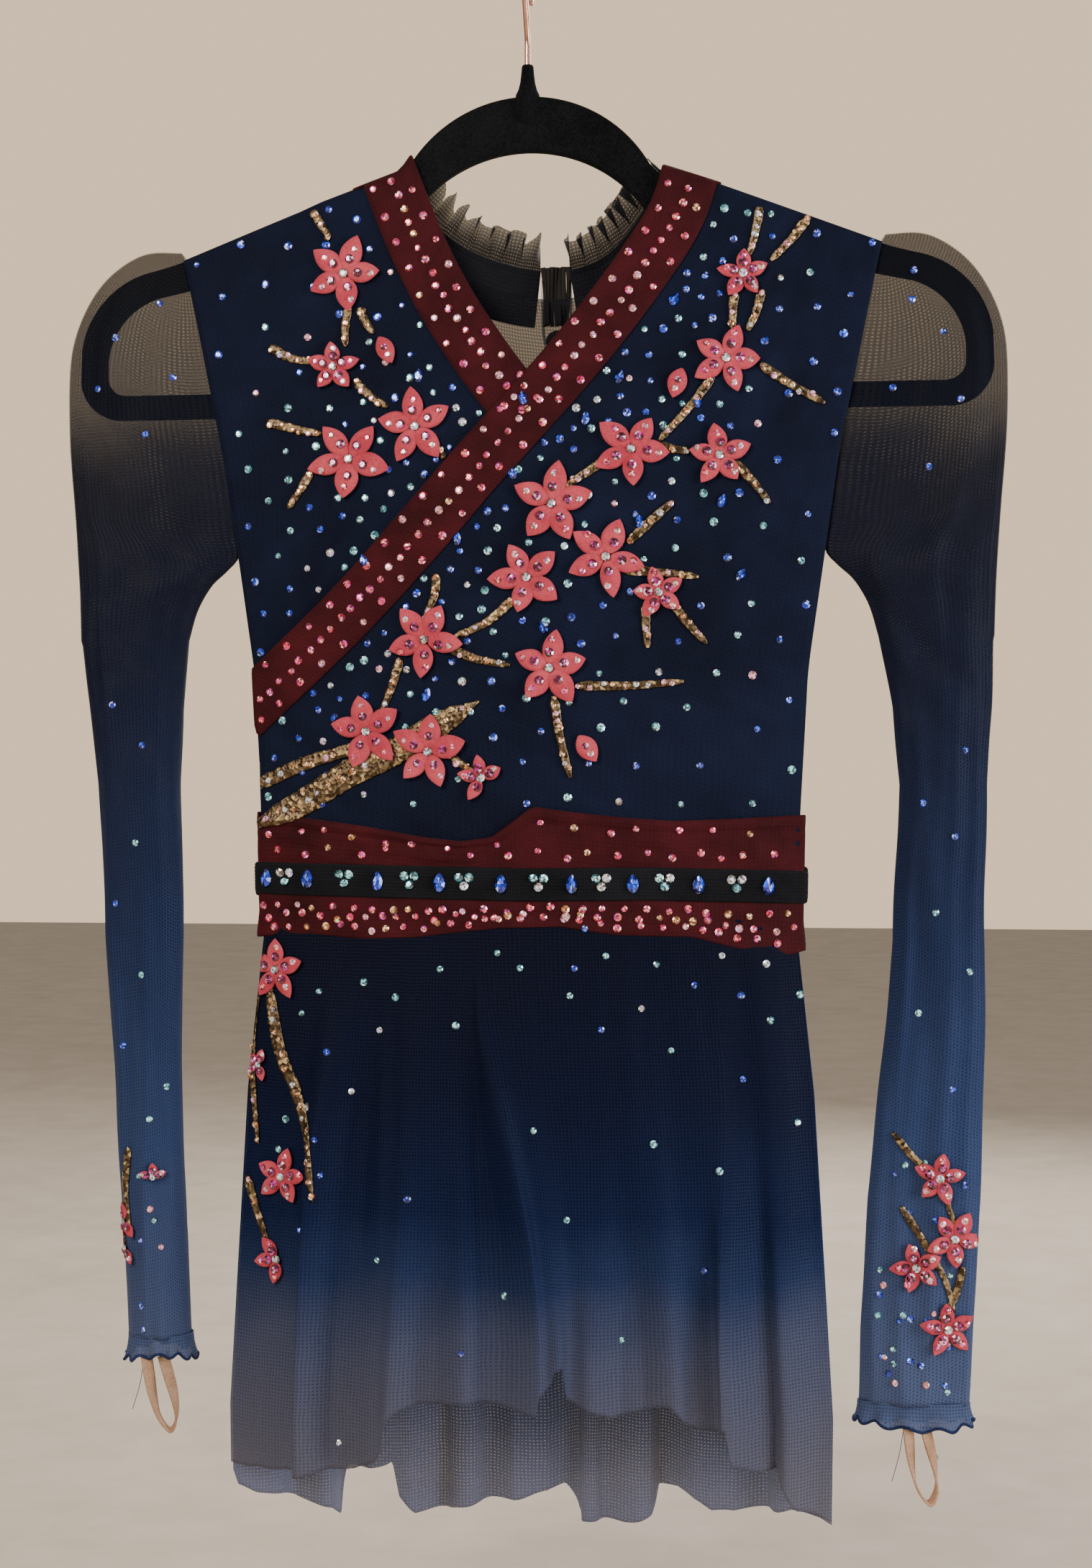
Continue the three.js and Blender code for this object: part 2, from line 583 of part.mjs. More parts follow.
const SWING_CUT = swingCut();
for (const side of ['left', 'right']) {
  const sign = side === 'left' ? -1 : 1;
  const rows = SLEEVES[side];
  const [endZ, endX, endW, endD] = rows[rows.length - 1];
  add(`sleeve_cap_${side}`, sleeveCap(sign), 'mesh');
  add(`sleeve_${side}`, sleeveTube(rows, CLOTH).subtract(SWING_CUT), 'mesh');
  const hemTop = endZ - FIT;
  const hemRows = [[hemTop, endX, endW, endD], [hemTop - CUFF_HEM, endX, endW, endD]];
  add(`cuff_hem_${side}`, sleeveTube(hemRows, 1.6, 0.6), 'mesh');
  const loopZ = hemTop - CUFF_HEM - FIT - 0.5;
  const half = FINGER_LOOP_WIDTH / 2;
  const wallY = -endD * Math.sqrt(1 - (half / endW) ** 2) + 0.2;
  add(`finger_loop_${side}`, strap([
    [endX - half, wallY, loopZ], [endX - half, wallY, loopZ - FINGER_LOOP_DROP * 0.5],
    [endX, wallY, loopZ - FINGER_LOOP_DROP], [endX + half, wallY, loopZ - FINGER_LOOP_DROP * 0.5],
    [endX + half, wallY, loopZ],
  ], ELASTIC_WIDTH, ELASTIC_THICK, 20), 'elastic');
}

// ---- appliques ----
const OUTER_FACE = LAYER + CLOTH;
const REST = 0.5; // gap between an applique and the curved cloth under it

// A blossom of five pointed petals laid on the cloth; lift raises it over a branch.
const PETAL = [[-36, 0.2], [-26, 0.45], [-18, 0.72], [0, 1], [18, 0.72], [26, 0.45]];

function blossom(x, z, radius, turn, under, lift = REST) {
  const outline = [];
  for (let petal = 0; petal < 5; petal += 1) {
    for (const [angle, reach] of PETAL) {
      const a = THREE.MathUtils.degToRad(turn + petal * 72 + angle);
      outline.push([x + radius * reach * Math.cos(a), z + radius * reach * Math.sin(a)]);
    }
  }
  const face = under + lift;
  const at = ([px, pz], t) => [px, -(standOff(px, pz) + face + APPLIQUE * t), pz];
  const points = [];
  outline.forEach((p, i) => {
    const q = outline[(i + 1) % outline.length];
    points.push(...at([x, z], 1), ...at(p, 1), ...at(q, 1));
    points.push(...at([x, z], 0), ...at(q, 0), ...at(p, 0));
    points.push(...at(p, 1), ...at(p, 0), ...at(q, 1));
    points.push(...at(q, 1), ...at(p, 0), ...at(q, 0));
  });
  const geometry = new THREE.BufferGeometry();
  geometry.setAttribute('position', new THREE.BufferAttribute(new Float32Array(points), 3));
  const made = solid(geometry);
  return made.volume() < 0 ? solid(flipped(mergeVertices(geometry))) : made;
}

// A tapering branch laid on the cloth along a line of [x, z, half width] points.
function branch(points, under) {
  const pieces = points.length - 1;
  const steps = pieces * 3;
  return mapped(2, steps, (u, v, t) => {
    const s = Math.min(pieces - 1e-6, v * pieces);
    const i = Math.floor(s);
    const f = s - i;
    const [ax, az, aw] = points[i];
    const [bx, bz, bw] = points[i + 1];
    const length = Math.hypot(bx - ax, bz - az);
    const w = (aw + (bw - aw) * f) * (2 * u - 1);
    const x = ax + (bx - ax) * f - (w * (bz - az)) / length;
    const z = az + (bz - az) * f + (w * (bx - ax)) / length;
    return [x, -(standOff(x, z) + under + REST + BRANCH * t), z];
  });
}

const OVER_BRANCH = REST + BRANCH + FIT;
const BLOSSOMS = {
  blossom_shoulder_left: [-90, -161, 18.5, 70, CLOTH],
  blossom_chest_left: [-96, -206, 13, 20, CLOTH],
  blossom_heart: [-52, -238, 19, 98, CLOTH],
  blossom_side_left: [-88, -254, 20, 52, CLOTH],
  blossom_shoulder_right: [105, -166, 12, 90, OUTER_FACE],
  blossom_upper_right: [98, -206, 17, 70, OUTER_FACE],
  blossom_mid_right: [53, -249, 18, 60, OUTER_FACE],
  blossom_right: [95, -253, 15, 20, OUTER_FACE],
  blossom_centre_upper: [14, -277, 20, 85, OUTER_FACE],
  blossom_centre_lower: [1, -313, 18, 40, OUTER_FACE],
  blossom_centre_right: [42, -303, 18, 62, OUTER_FACE],
  blossom_small_right: [68, -320, 12, 30, OUTER_FACE],
  blossom_lower_mid: [-46, -341, 18, 58, OUTER_FACE],
  blossom_lower_right: [14, -356, 19, 86, OUTER_FACE],
  blossom_waist_left: [-77, -386, 18.5, 100, OUTER_FACE, OVER_BRANCH],
  blossom_waist_mid: [-40, -396, 18, 80, OUTER_FACE, OVER_BRANCH],
  blossom_skirt_upper: [-114, -503, 14, 90, CLOTH],
  blossom_skirt_lower: [-118, -604, 14, 80, CLOTH],
};
for (const [name, spot] of Object.entries(BLOSSOMS)) add(name, blossom(...spot), 'petal');

const BRANCHES = {
  branch_waist: [[[-22, -371, 0.8], [-48, -385, 5], [-76, -402, 6], [-112, -424, 6]], OUTER_FACE],
  branch_side: [[[-84, -376, 1.5], [-104, -388, 2.6], [-118, -396, 3]], OUTER_FACE],
  branch_right: [[[58, -368, 2], [80, -380, 3.4], [96, -366, 1]], OUTER_FACE],
  branch_lower_right: [[[36, -334, 3], [62, -346, 3.6], [84, -338, 1]], OUTER_FACE],
  branch_skirt: [[[-122, -520, 3], [-112, -545, 2.8], [-106, -566, 2.4], [-101, -584, 0.8]], CLOTH],
};
for (const [name, [line, under]] of Object.entries(BRANCHES)) add(name, branch(line, under), 'bark');

export default GROUP;
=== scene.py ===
"""A kimono-style skating dress hanging on a flocked hanger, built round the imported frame."""
import math
import random

import bmesh
import bpy
import numpy as np
from mathutils import Matrix, Vector, noise
from mathutils.bvhtree import BVHTree


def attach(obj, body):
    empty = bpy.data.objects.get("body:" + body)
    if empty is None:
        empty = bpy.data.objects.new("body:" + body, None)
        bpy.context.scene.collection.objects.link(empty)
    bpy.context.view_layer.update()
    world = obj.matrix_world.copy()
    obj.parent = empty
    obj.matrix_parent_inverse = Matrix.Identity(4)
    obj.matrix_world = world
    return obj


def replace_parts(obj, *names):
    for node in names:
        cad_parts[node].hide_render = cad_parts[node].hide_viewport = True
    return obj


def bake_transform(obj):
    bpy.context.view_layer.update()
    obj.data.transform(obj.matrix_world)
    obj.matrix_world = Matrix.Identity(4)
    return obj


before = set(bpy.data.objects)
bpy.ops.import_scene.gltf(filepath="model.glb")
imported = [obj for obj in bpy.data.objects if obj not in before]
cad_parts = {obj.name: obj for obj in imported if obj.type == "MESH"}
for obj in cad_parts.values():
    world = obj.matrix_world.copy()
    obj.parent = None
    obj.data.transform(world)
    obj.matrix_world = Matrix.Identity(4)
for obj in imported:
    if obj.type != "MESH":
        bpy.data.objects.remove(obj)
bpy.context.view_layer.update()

MM = 0.001

# ---- sizes in millimetres, the same places as the frame's solids ----
CLOTH = 0.8
LAYER = 1.3
WAIST = -476.0
SHOULDER_TIP = -152.0
SASH_TOP, SASH_CORD_TOP, SASH_CORD_BOTTOM, SASH_BOTTOM = -426.0, -451.0, -466.0, -487.0
HALF_BAND = 13.5
BACK_CENTRE = 13.0
COLLAR_GAP = 16.0

# (height, half width): armhole edge, side seam, then the skirt's side
HALF_WIDTH = [(-152, 171), (-175, 166), (-205, 160), (-250, 151), (-306, 143),
              (-355, 136), (-427, 132), (-476, 131), (-560, 140), (-646, 145), (-717, 149), (-790, 148)]
# (height, how far the cloth stands off the middle)
DEPTH = [(-114, 4), (-200, 10), (-306, 18), (-476, 18), (-560, 22), (-640, 26), (-790, 30)]

OVER_LINE = [(81, -105), (78, -122), (71, -140), (57, -162), (39, -187), (20, -211), (-2, -236),
             (-22, -258), (-55, -295), (-90, -331), (-142, -377)]
UNDER_LINE = [(-74, -98), (-68, -112), (-55, -145), (-40, -175), (-22, -203), (-8, -222), (12, -246)]
HALF_COLLAR = [(-90, -96), (-82, -114), (-66, -138), (-46, -158), (-24, -169), (0, -173)]


# ---- the shape the cloth lies on ----
def ease(t):
    t = min(1.0, max(0.0, t))
    return t * t * (3 - 2 * t)


def along(table, z):
    return float(np.interp(-z, [-row[0] for row in table], [row[1] for row in table]))


def half_width(z):
    return along(HALF_WIDTH, z)


def hanger_top(x):
    off = abs(x)
    if off < 64:
        return -145 + math.sqrt(69 ** 2 - min(off, 60) ** 2) - max(0.0, off - 60)
    return -114.93 - 0.346 * (min(off, 176) - 64)


def shoulder_line(x):
    return hanger_top(x) + 3.8


def wrinkle(x, z, seed=0.0):
    """Soft creases, a few tenths of a millimetre deep, that every layer shares."""
    soft = noise.noise(Vector((x / 42 + seed, seed, z / 60)))
    fine = noise.noise(Vector((x / 15, 7 + seed, z / 26)))
    return 0.55 * soft + 0.2 * fine


def stand_off(x, z, folds=True):
    below = shoulder_line(x) - z
    wrap = 3.1 * math.sqrt(min(1.0, max(0.0, below / 4)))
    seat = 1 - ease((-270 - z) / 36)
    across = max(0.0, 1 - (x / half_width(z)) ** 2)
    wave = 4 * math.sin(x / 17) * ease((WAIST - z) / 260) if folds else 0.0
    return 0.35 + wrap * seat + (along(DEPTH, z) + wave) * across * ease(below / 160)


def on_dress(side, x, z, lift):
    """A point lift millimetres out from the cloth's inner face, on the front (-1) or the back (1)."""
    calm = ease((shoulder_line(x) - z) / 30)
    return (x, side * (stand_off(x, z) + lift + calm * wrinkle(x, z, 3.0 * side)), z)


def smooth_line(points, count):
    """Points spaced evenly by length along a Catmull-Rom curve."""
    p = np.array(points, float)
    p = np.vstack([2 * p[0] - p[1], p, 2 * p[-1] - p[-2]])
    found = []
    for i in range(1, len(p) - 2):
        for t in np.linspace(0, 1, 24, endpoint=False):
            a, b, c, d = p[i - 1:i + 3]
            found.append(0.5 * (2 * b + (c - a) * t + (2 * a - 5 * b + 4 * c - d) * t * t
                                + (3 * b - a - 3 * c + d) * t ** 3))
    found.append(p[-2])
    found = np.array(found)
    step = np.concatenate([[0], np.cumsum(np.linalg.norm(np.diff(found, axis=0), axis=1))])
    at = np.linspace(0, step[-1], count)
    return np.stack([np.interp(at, step, found[:, k]) for k in range(p.shape[1])], axis=1)


def beside(points, distance):
    """The line moved sideways in the X-Z plane."""
    p = np.array(points, float)
    d = np.gradient(p[:, :2], axis=0)
    d /= np.linalg.norm(d, axis=1)[:, None]
    return p[:, :2] + distance * np.stack([-d[:, 1], d[:, 0]], axis=1)


# ---- mesh making ----
PIECES = {}


def new_object(name, points, faces, material, body, smooth=True):
    mesh = bpy.data.meshes.new(name)
    mesh.from_pydata([tuple(p) for p in points], [], [tuple(f) for f in faces])
    mesh.update()
    mesh.shade_smooth() if smooth else mesh.shade_flat()
    made = bpy.data.objects.new(name, mesh)
    bpy.context.scene.collection.objects.link(made)
    made.data.materials.append(material)
    if body:
        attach(made, body)
    PIECES[name] = made
    return made


def cloth_grid(name, rows, material, body, thick=CLOTH, outward=None, ring=False, drop=None,
               skip=None):
    """A closed sheet from rows of points (millimetres), with a UV map in metres along the threads."""
    p = np.array(rows, float) * MM
    nv, nu = p.shape[:2]
    du = np.roll(p, -1, 1) - np.roll(p, 1, 1) if ring else np.gradient(p, axis=1)
    normal = np.cross(du, np.gradient(p, axis=0))
    normal /= np.maximum(np.linalg.norm(normal, axis=2, keepdims=True), 1e-12)
    if outward is not None:
        facing = np.sign((normal * (p - np.array(outward) * MM)).sum())
        normal *= facing if facing else 1
    shell = np.concatenate([p + normal * thick * MM / 2, p - normal * thick * MM / 2]).reshape(-1, 3)
    count = nv * nu
    spans = nu if ring else nu - 1
    faces = []
    face_uv = []
    wide = np.concatenate([np.zeros((nv, 1)), np.cumsum(np.linalg.norm(np.diff(p, axis=1), axis=2),
                                                        axis=1)], axis=1)
    u_at = np.repeat(wide.mean(axis=0)[None, :], nv, axis=0)
    tall = np.concatenate([np.zeros((1, nu)), np.cumsum(np.linalg.norm(np.diff(p, axis=0), axis=2),
                                                        axis=0)])
    v_at = tall
    whole = u_at[0, -1] + np.linalg.norm(p[:, -1] - p[:, 0], axis=1).mean()
    for j in range(nv - 1):
        for i in range(spans):
            if skip is not None and skip[j, i]:
                continue
            k = (i + 1) % nu
            u1 = whole if k < i else u_at[j, k]
            a, b, c, d = j * nu + i, j * nu + k, (j + 1) * nu + k, (j + 1) * nu + i
            corners = [(u_at[j, i], v_at[j, i]), (u1, v_at[j, k]), (u1, v_at[j + 1, k]),
                       (u_at[j, i], v_at[j + 1, i])]
            faces += [(a, b, c, d), (d + count, c + count, b + count, a + count)]
            face_uv += [corners, corners[::-1]]
    edges = {}
    for f in faces[::2]:
        for a, b in zip(f, f[1:] + f[:1]):
            edges[(a, b)] = True
    for a, b in [e for e in edges if (e[1], e[0]) not in edges]:
        faces.append((b, a, a + count, b + count))
        uv = [(u_at.flat[b], v_at.flat[b]), (u_at.flat[a], v_at.flat[a])]
        face_uv.append(uv + uv[::-1])
    made = new_object(name, shell, faces, material, body)
    layer = made.data.uv_layers.new(name="threads")
    layer.data.foreach_set("uv", np.array([c for f in face_uv for c in f]).ravel())
    if drop is not None:
        mark = made.data.attributes.new("drop", "FLOAT", "POINT")
        values = np.array(drop, float).reshape(-1)
        mark.data.foreach_set("value", np.concatenate([values, values]))
    clean(made)
    return made


def clean(made):
    """Drops points that no face uses and turns the faces outwards."""
    b = bmesh.new()
    b.from_mesh(made.data)
    loose = [v for v in b.verts if not v.link_faces]
    bmesh.ops.delete(b, geom=loose, context="VERTS")
    bmesh.ops.recalc_face_normals(b, faces=b.faces)
    b.to_mesh(made.data)
    b.free()


def tube(name, line, radius, material, body, sides=10, closed=False, flat=1.0, twist=None):
    """A round or flattened tube along points in millimetres; radius may be one number or one for
    each point."""
    p = np.array(line, float)
    n = len(p)
    r = np.full(n, radius, float) if np.isscalar(radius) else np.array(radius, float)
    tangent = np.roll(p, -1, 0) - np.roll(p, 1, 0) if closed else np.gradient(p, axis=0)
    tangent /= np.linalg.norm(tangent, axis=1)[:, None]
    up = Vector((0, 1, 0)) if twist is None else Vector(twist)
    points, faces = [], []
    for i in range(n):
        t = Vector(tangent[i])
        side = t.cross(up)
        side = side.normalized() if side.length > 1e-6 else Vector((1, 0, 0))
        front = side.cross(t).normalized()
        for k in range(sides):
            a = 2 * math.pi * k / sides
            spoke = math.cos(a) * side + flat * math.sin(a) * front
            points.append((Vector(p[i]) + float(r[i]) * spoke) * MM)
    for i in range(n if closed else n - 1):
        j = (i + 1) % n
        for k in range(sides):
            m = (k + 1) % sides
            faces.append((i * sides + k, i * sides + m, j * sides + m, j * sides + k))
    if not closed:
        faces.append(tuple(range(sides))[::-1])
        faces.append(tuple((n - 1) * sides + k for k in range(sides)))
    made = new_object(name, points, faces, material, body)
    clean(made)
    return made


def join_as(name, parts):
    """Several meshes of one material made into one piece."""
    first = parts[0]
    points, faces = [], []
    for part in parts:
        start = len(points)
        points += [tuple(v.co) for v in part.data.vertices]
        faces += [tuple(start + i for i in f.vertices) for f in part.data.polygons]
    mesh = bpy.data.meshes.new(name)
    mesh.from_pydata(points, [], faces)
    mesh.shade_smooth()
    mesh.materials.append(first.data.materials[0])
    for part in parts[1:]:
        PIECES.pop(part.name, None)
        bpy.data.objects.remove(part)
    PIECES.pop(first.name, None)
    first.data = mesh
    first.name = name
    PIECES[name] = first
    return first


# ---- materials ----
def group(name, inputs, outputs):
    """An empty shader group with (socket name, kind, default) inputs and (name, kind) outputs."""
    made = bpy.data.node_groups.new(name, "ShaderNodeTree")
    for label, kind, value in inputs:
        socket = made.interface.new_socket(label, in_out="INPUT", socket_type=f"NodeSocket{kind}")
        if value is not None:
            socket.default_value = value
    for label, kind in outputs:
        made.interface.new_socket(label, in_out="OUTPUT", socket_type=f"NodeSocket{kind}")
    start, end = made.nodes.new("NodeGroupInput"), made.nodes.new("NodeGroupOutput")
    return made, start, end


def node(tree, kind, **values):
    made = tree.nodes.new(kind)
    for key, value in values.items():
        if hasattr(made, key):
            setattr(made, key, value)
        else:
            made.inputs[key.replace("_", " ")].default_value = value
    return made


def math_node(tree, operation, a, b=None, c=None):
    made = tree.nodes.new("ShaderNodeMath")
    made.operation = operation
    for socket, value in zip(made.inputs, (a, b, c)):
        if value is None:
            continue
        if isinstance(value, (int, float)):
            socket.default_value = value
        else:
            tree.links.new(value, socket)
    return made.outputs[0]


def weave_group():
    """Crossing threads: Height for the bump and Thread, which is 1 on a thread and 0 in the holes."""
    tree, start, end = group("crossing threads", [("Vector", "Vector", None), ("Threads", "Float", 1500.0),
                                                  ("Open", "Float", 0.4)],
                             [("Height", "Float"), ("Thread", "Float")])
    parts = node(tree, "ShaderNodeSeparateXYZ")
    tree.links.new(start.outputs["Vector"], parts.inputs[0])
    drift = node(tree, "ShaderNodeTexNoise", Scale=90.0, Detail=1.0)
    tree.links.new(start.outputs["Vector"], drift.inputs["Vector"])
    turns = []
    for axis in ("X", "Y"):
        run = math_node(tree, "MULTIPLY", parts.outputs[axis], start.outputs["Threads"])
        bent = math_node(tree, "MULTIPLY_ADD", drift.outputs["Fac"], 2.5, run)
        turns.append(math_node(tree, "ABSOLUTE", math_node(tree, "SINE", bent)))
    over = math_node(tree, "MAXIMUM", turns[0], turns[1])
    tree.links.new(over, end.inputs["Height"])
    sharp = math_node(tree, "SUBTRACT", over, start.outputs["Open"])
    tree.links.new(math_node(tree, "MINIMUM", math_node(tree, "MAXIMUM", math_node(
        tree, "MULTIPLY", sharp, 4.0), 0.0), 1.0), end.inputs["Thread"])
    return tree


def tone_group():
    """Two colours mixed in soft clouds and fine flecks, as dyed cloth shows."""
    tree, start, end = group("dye variation", [("Vector", "Vector", None), ("Deep", "Color", (0, 0, 0, 1)),
                                               ("Light", "Color", (1, 1, 1, 1)),
                                               ("Cloud size", "Float", 18.0),
                                               ("Fleck", "Float", 0.25)],
                             [("Color", "Color"), ("Cloud", "Float")])
    cloud = node(tree, "ShaderNodeTexNoise", Detail=3.0, Roughness=0.6)
    fleck = node(tree, "ShaderNodeTexNoise", Scale=900.0, Detail=2.0)
    tree.links.new(start.outputs["Cloud size"], cloud.inputs["Scale"])
    for noise_node in (cloud, fleck):
        tree.links.new(start.outputs["Vector"], noise_node.inputs["Vector"])
    shade = math_node(tree, "MULTIPLY_ADD", math_node(tree, "SUBTRACT", fleck.outputs["Fac"], 0.5),
                      start.outputs["Fleck"], cloud.outputs["Fac"])
    wide = node(tree, "ShaderNodeMapRange", From_Min=0.3, From_Max=0.7)
    tree.links.new(shade, wide.inputs["Value"])
    mix = node(tree, "ShaderNodeMix", data_type="RGBA")
    tree.links.new(wide.outputs["Result"], mix.inputs[0])
    tree.links.new(start.outputs["Deep"], mix.inputs[6])
    tree.links.new(start.outputs["Light"], mix.inputs[7])
    tree.links.new(mix.outputs[2], end.inputs["Color"])
    tree.links.new(cloud.outputs["Fac"], end.inputs["Cloud"])
    return tree


WEAVE = weave_group()
TONE = tone_group()


def new_material(name, roughness, metallic=0.0, **extra):
    made = bpy.data.materials.new(name)
    made.use_nodes = True
    tree = made.node_tree
    shader = tree.nodes["Principled BSDF"]
    shader.inputs["Roughness"].default_value = roughness
    shader.inputs["Metallic"].default_value = metallic
    shader.inputs["Specular IOR Level"].default_value = 0.5 if metallic else 0.08
    for key, value in extra.items():
        shader.inputs[key.replace("_", " ")].default_value = value
    return made, tree, shader


def place_group(tree, which, vector, **values):
    made = tree.nodes.new("ShaderNodeGroup")
    made.node_tree = which
    tree.links.new(vector, made.inputs["Vector"])
    for key, value in values.items():
        made.inputs[key.replace("_", " ")].default_value = value
    return made


def bump(tree, shader, height, depth, strength=1.0):
    made = node(tree, "ShaderNodeBump", Strength=strength, Distance=depth)
    tree.links.new(height, made.inputs["Height"])
    tree.links.new(made.outputs["Normal"], shader.inputs["Normal"])


def thread_coordinates(tree):
    return node(tree, "ShaderNodeUVMap", uv_map="threads").outputs["UV"]


def object_coordinates(tree):
    return node(tree, "ShaderNodeTexCoord").outputs["Object"]


def cloth_material(name, deep, light, roughness, threads=1500.0, depth=0.00025, cloud=18.0, sheen=0.0,
                   tint=None):
    """Close-knit stretch cloth with a bump for its threads and dye that varies a little."""
    made, tree, shader = new_material(name, roughness, Sheen_Weight=sheen, Sheen_Roughness=0.45)
    if tint:
        shader.inputs["Sheen Tint"].default_value = (*tint, 1)
    at = thread_coordinates(tree)
    tone = place_group(tree, TONE, at, Deep=(*deep, 1), Light=(*light, 1), Cloud_size=cloud)
    weave = place_group(tree, WEAVE, at, Threads=threads)
    tree.links.new(tone.outputs["Color"], shader.inputs["Base Color"])
    rough = node(tree, "ShaderNodeMapRange", To_Min=roughness - 0.12, To_Max=min(1.0, roughness + 0.1))
    tree.links.new(tone.outputs["Cloud"], rough.inputs["Value"])
    tree.links.new(rough.outputs["Result"], shader.inputs["Roughness"])
    bump(tree, shader, weave.outputs["Height"], depth)
    return made


def ramp(tree, factor, stops):
    made = node(tree, "ShaderNodeValToRGB")
    band = made.color_ramp
    while len(band.elements) < len(stops):
        band.elements.new(0.5)
    for element, (place, colour) in zip(band.elements, stops):
        element.position = place
        element.color = (*colour, 1) if len(colour) == 3 else colour
    tree.links.new(factor, made.inputs["Fac"])
    return made.outputs["Color"]


def sheer_material(name, colours, cover, roughness=0.5, threads=1900.0, sheen=0.02):
    """Ombre net: colour and cover both run with the piece's drop from top (0) to edge (1)."""
    made, tree, shader = new_material(name, roughness, Sheen_Weight=sheen, Sheen_Roughness=0.4)
    at = thread_coordinates(tree)
    drop = node(tree, "ShaderNodeAttribute", attribute_name="drop").outputs["Fac"]
    wander = node(tree, "ShaderNodeTexNoise", Scale=14.0, Detail=3.0)
    tree.links.new(at, wander.inputs["Vector"])
    shift = math_node(tree, "MULTIPLY_ADD", math_node(tree, "SUBTRACT", wander.outputs["Fac"], 0.5), 0.16,
                      drop)
    dyed = ramp(tree, shift, colours)
    weave = place_group(tree, WEAVE, at, Threads=threads, Open=0.55)
    # painted shade: the net's colour is darkened by up to about a third where the weave's height is low,
    # between the threads
    shade = node(tree, "ShaderNodeMix", data_type="RGBA", blend_type="MULTIPLY")
    shade.inputs[0].default_value = 0.35
    tree.links.new(dyed, shade.inputs[6])
    tree.links.new(weave.outputs["Height"], shade.inputs[7])
    tree.links.new(shade.outputs[2], shader.inputs["Base Color"])
    solid = ramp(tree, shift, [(place, (value,) * 3) for place, value in cover])
    threads_on = math_node(tree, "MULTIPLY_ADD", weave.outputs["Thread"], 0.3, 0.7)
    tree.links.new(math_node(tree, "MULTIPLY", solid, threads_on), shader.inputs["Alpha"])
    bump(tree, shader, weave.outputs["Height"], 0.0002)
    return made


def felt_material():
    made, tree, shader = new_material("petal felt", 0.72, Sheen_Weight=0.06, Sheen_Roughness=0.5)
    at = object_coordinates(tree)
    tone = place_group(tree, TONE, at, Deep=(0.4, 0.036, 0.055, 1), Light=(0.6, 0.085, 0.11, 1),
                       Cloud_size=45.0, Fleck=0.5)
    edge = node(tree, "ShaderNodeAttribute", attribute_name="drop").outputs["Fac"]
    darker = node(tree, "ShaderNodeMix", data_type="RGBA")
    darker.inputs[7].default_value = (0.4, 0.05, 0.07, 1)
    tree.links.new(math_node(tree, "MULTIPLY", math_node(tree, "POWER", edge, 3.0), 0.55), darker.inputs[0])
    tree.links.new(tone.outputs["Color"], darker.inputs[6])
    tree.links.new(darker.outputs[2], shader.inputs["Base Color"])
    fuzz = node(tree, "ShaderNodeTexNoise", Scale=1600.0, Detail=3.0)
    tree.links.new(at, fuzz.inputs["Vector"])
    bump(tree, shader, fuzz.outputs["Fac"], 0.0004)
    return made


def bark_material():
    """Bronze foil cloth: small plates painted from dark bronze to gold at random, the few brightest gold ones
    as painted glints, with dark lines between them.
    """
    made, tree, shader = new_material("bronze foil cloth", 0.35, 0.7)
    at = object_coordinates(tree)
    plates = node(tree, "ShaderNodeTexVoronoi", Scale=620.0)
    tree.links.new(at, plates.inputs["Vector"])
    # plate colours vary at random; the top of the ramp gives a few plates bright gold as painted glints
    colours = ramp(tree, node_channel(tree, plates.outputs["Color"]), [
        (0.0, (0.035, 0.02, 0.01)), (0.5, (0.11, 0.066, 0.03)), (0.8, (0.2, 0.13, 0.06)),
        (0.97, (0.6, 0.42, 0.2))])
    tree.links.new(colours, shader.inputs["Base Color"])
    rough = node(tree, "ShaderNodeMapRange", To_Min=0.2, To_Max=0.65)
    tree.links.new(node_channel(tree, plates.outputs["Color"]), rough.inputs["Value"])
    tree.links.new(rough.outputs["Result"], shader.inputs["Roughness"])
    bump(tree, shader, plates.outputs["Distance"], 0.00025)
    return made


def node_channel(tree, colour):
    parts = node(tree, "ShaderNodeSeparateColor")
    tree.links.new(colour, parts.inputs[0])
    return parts.outputs[0]


def flock_material():
    made, tree, shader = new_material("black flocking", 0.95, Sheen_Weight=0.01, Sheen_Roughness=0.6)
    at = object_coordinates(tree)
    tone = place_group(tree, TONE, at, Deep=(0.0015, 0.0015, 0.0018, 1), Light=(0.007, 0.007, 0.008, 1),
                       Fleck=0.9)
    tree.links.new(tone.outputs["Color"], shader.inputs["Base Color"])
    fibres = node(tree, "ShaderNodeTexNoise", Scale=2600.0, Detail=2.0)
    tree.links.new(at, fibres.inputs["Vector"])
    bump(tree, shader, fibres.outputs["Fac"], 0.0005)
    return made


def wire_material():
    made, tree, shader = new_material("rose gold wire", 0.22, 1.0)
    at = object_coordinates(tree)
    tone = place_group(tree, TONE, at, Deep=(0.62, 0.32, 0.22, 1), Light=(0.85, 0.5, 0.38, 1),
                       Cloud_size=60.0)
    tree.links.new(tone.outputs["Color"], shader.inputs["Base Color"])
    drawn = node(tree, "ShaderNodeTexNoise", Scale=700.0, Detail=4.0)
    tree.links.new(at, drawn.inputs["Vector"])
    rough = node(tree, "ShaderNodeMapRange", To_Min=0.14, To_Max=0.36)
    tree.links.new(drawn.outputs["Fac"], rough.inputs["Value"])
    tree.links.new(rough.outputs["Result"], shader.inputs["Roughness"])
    bump(tree, shader, drawn.outputs["Fac"], 0.00005)
    return made


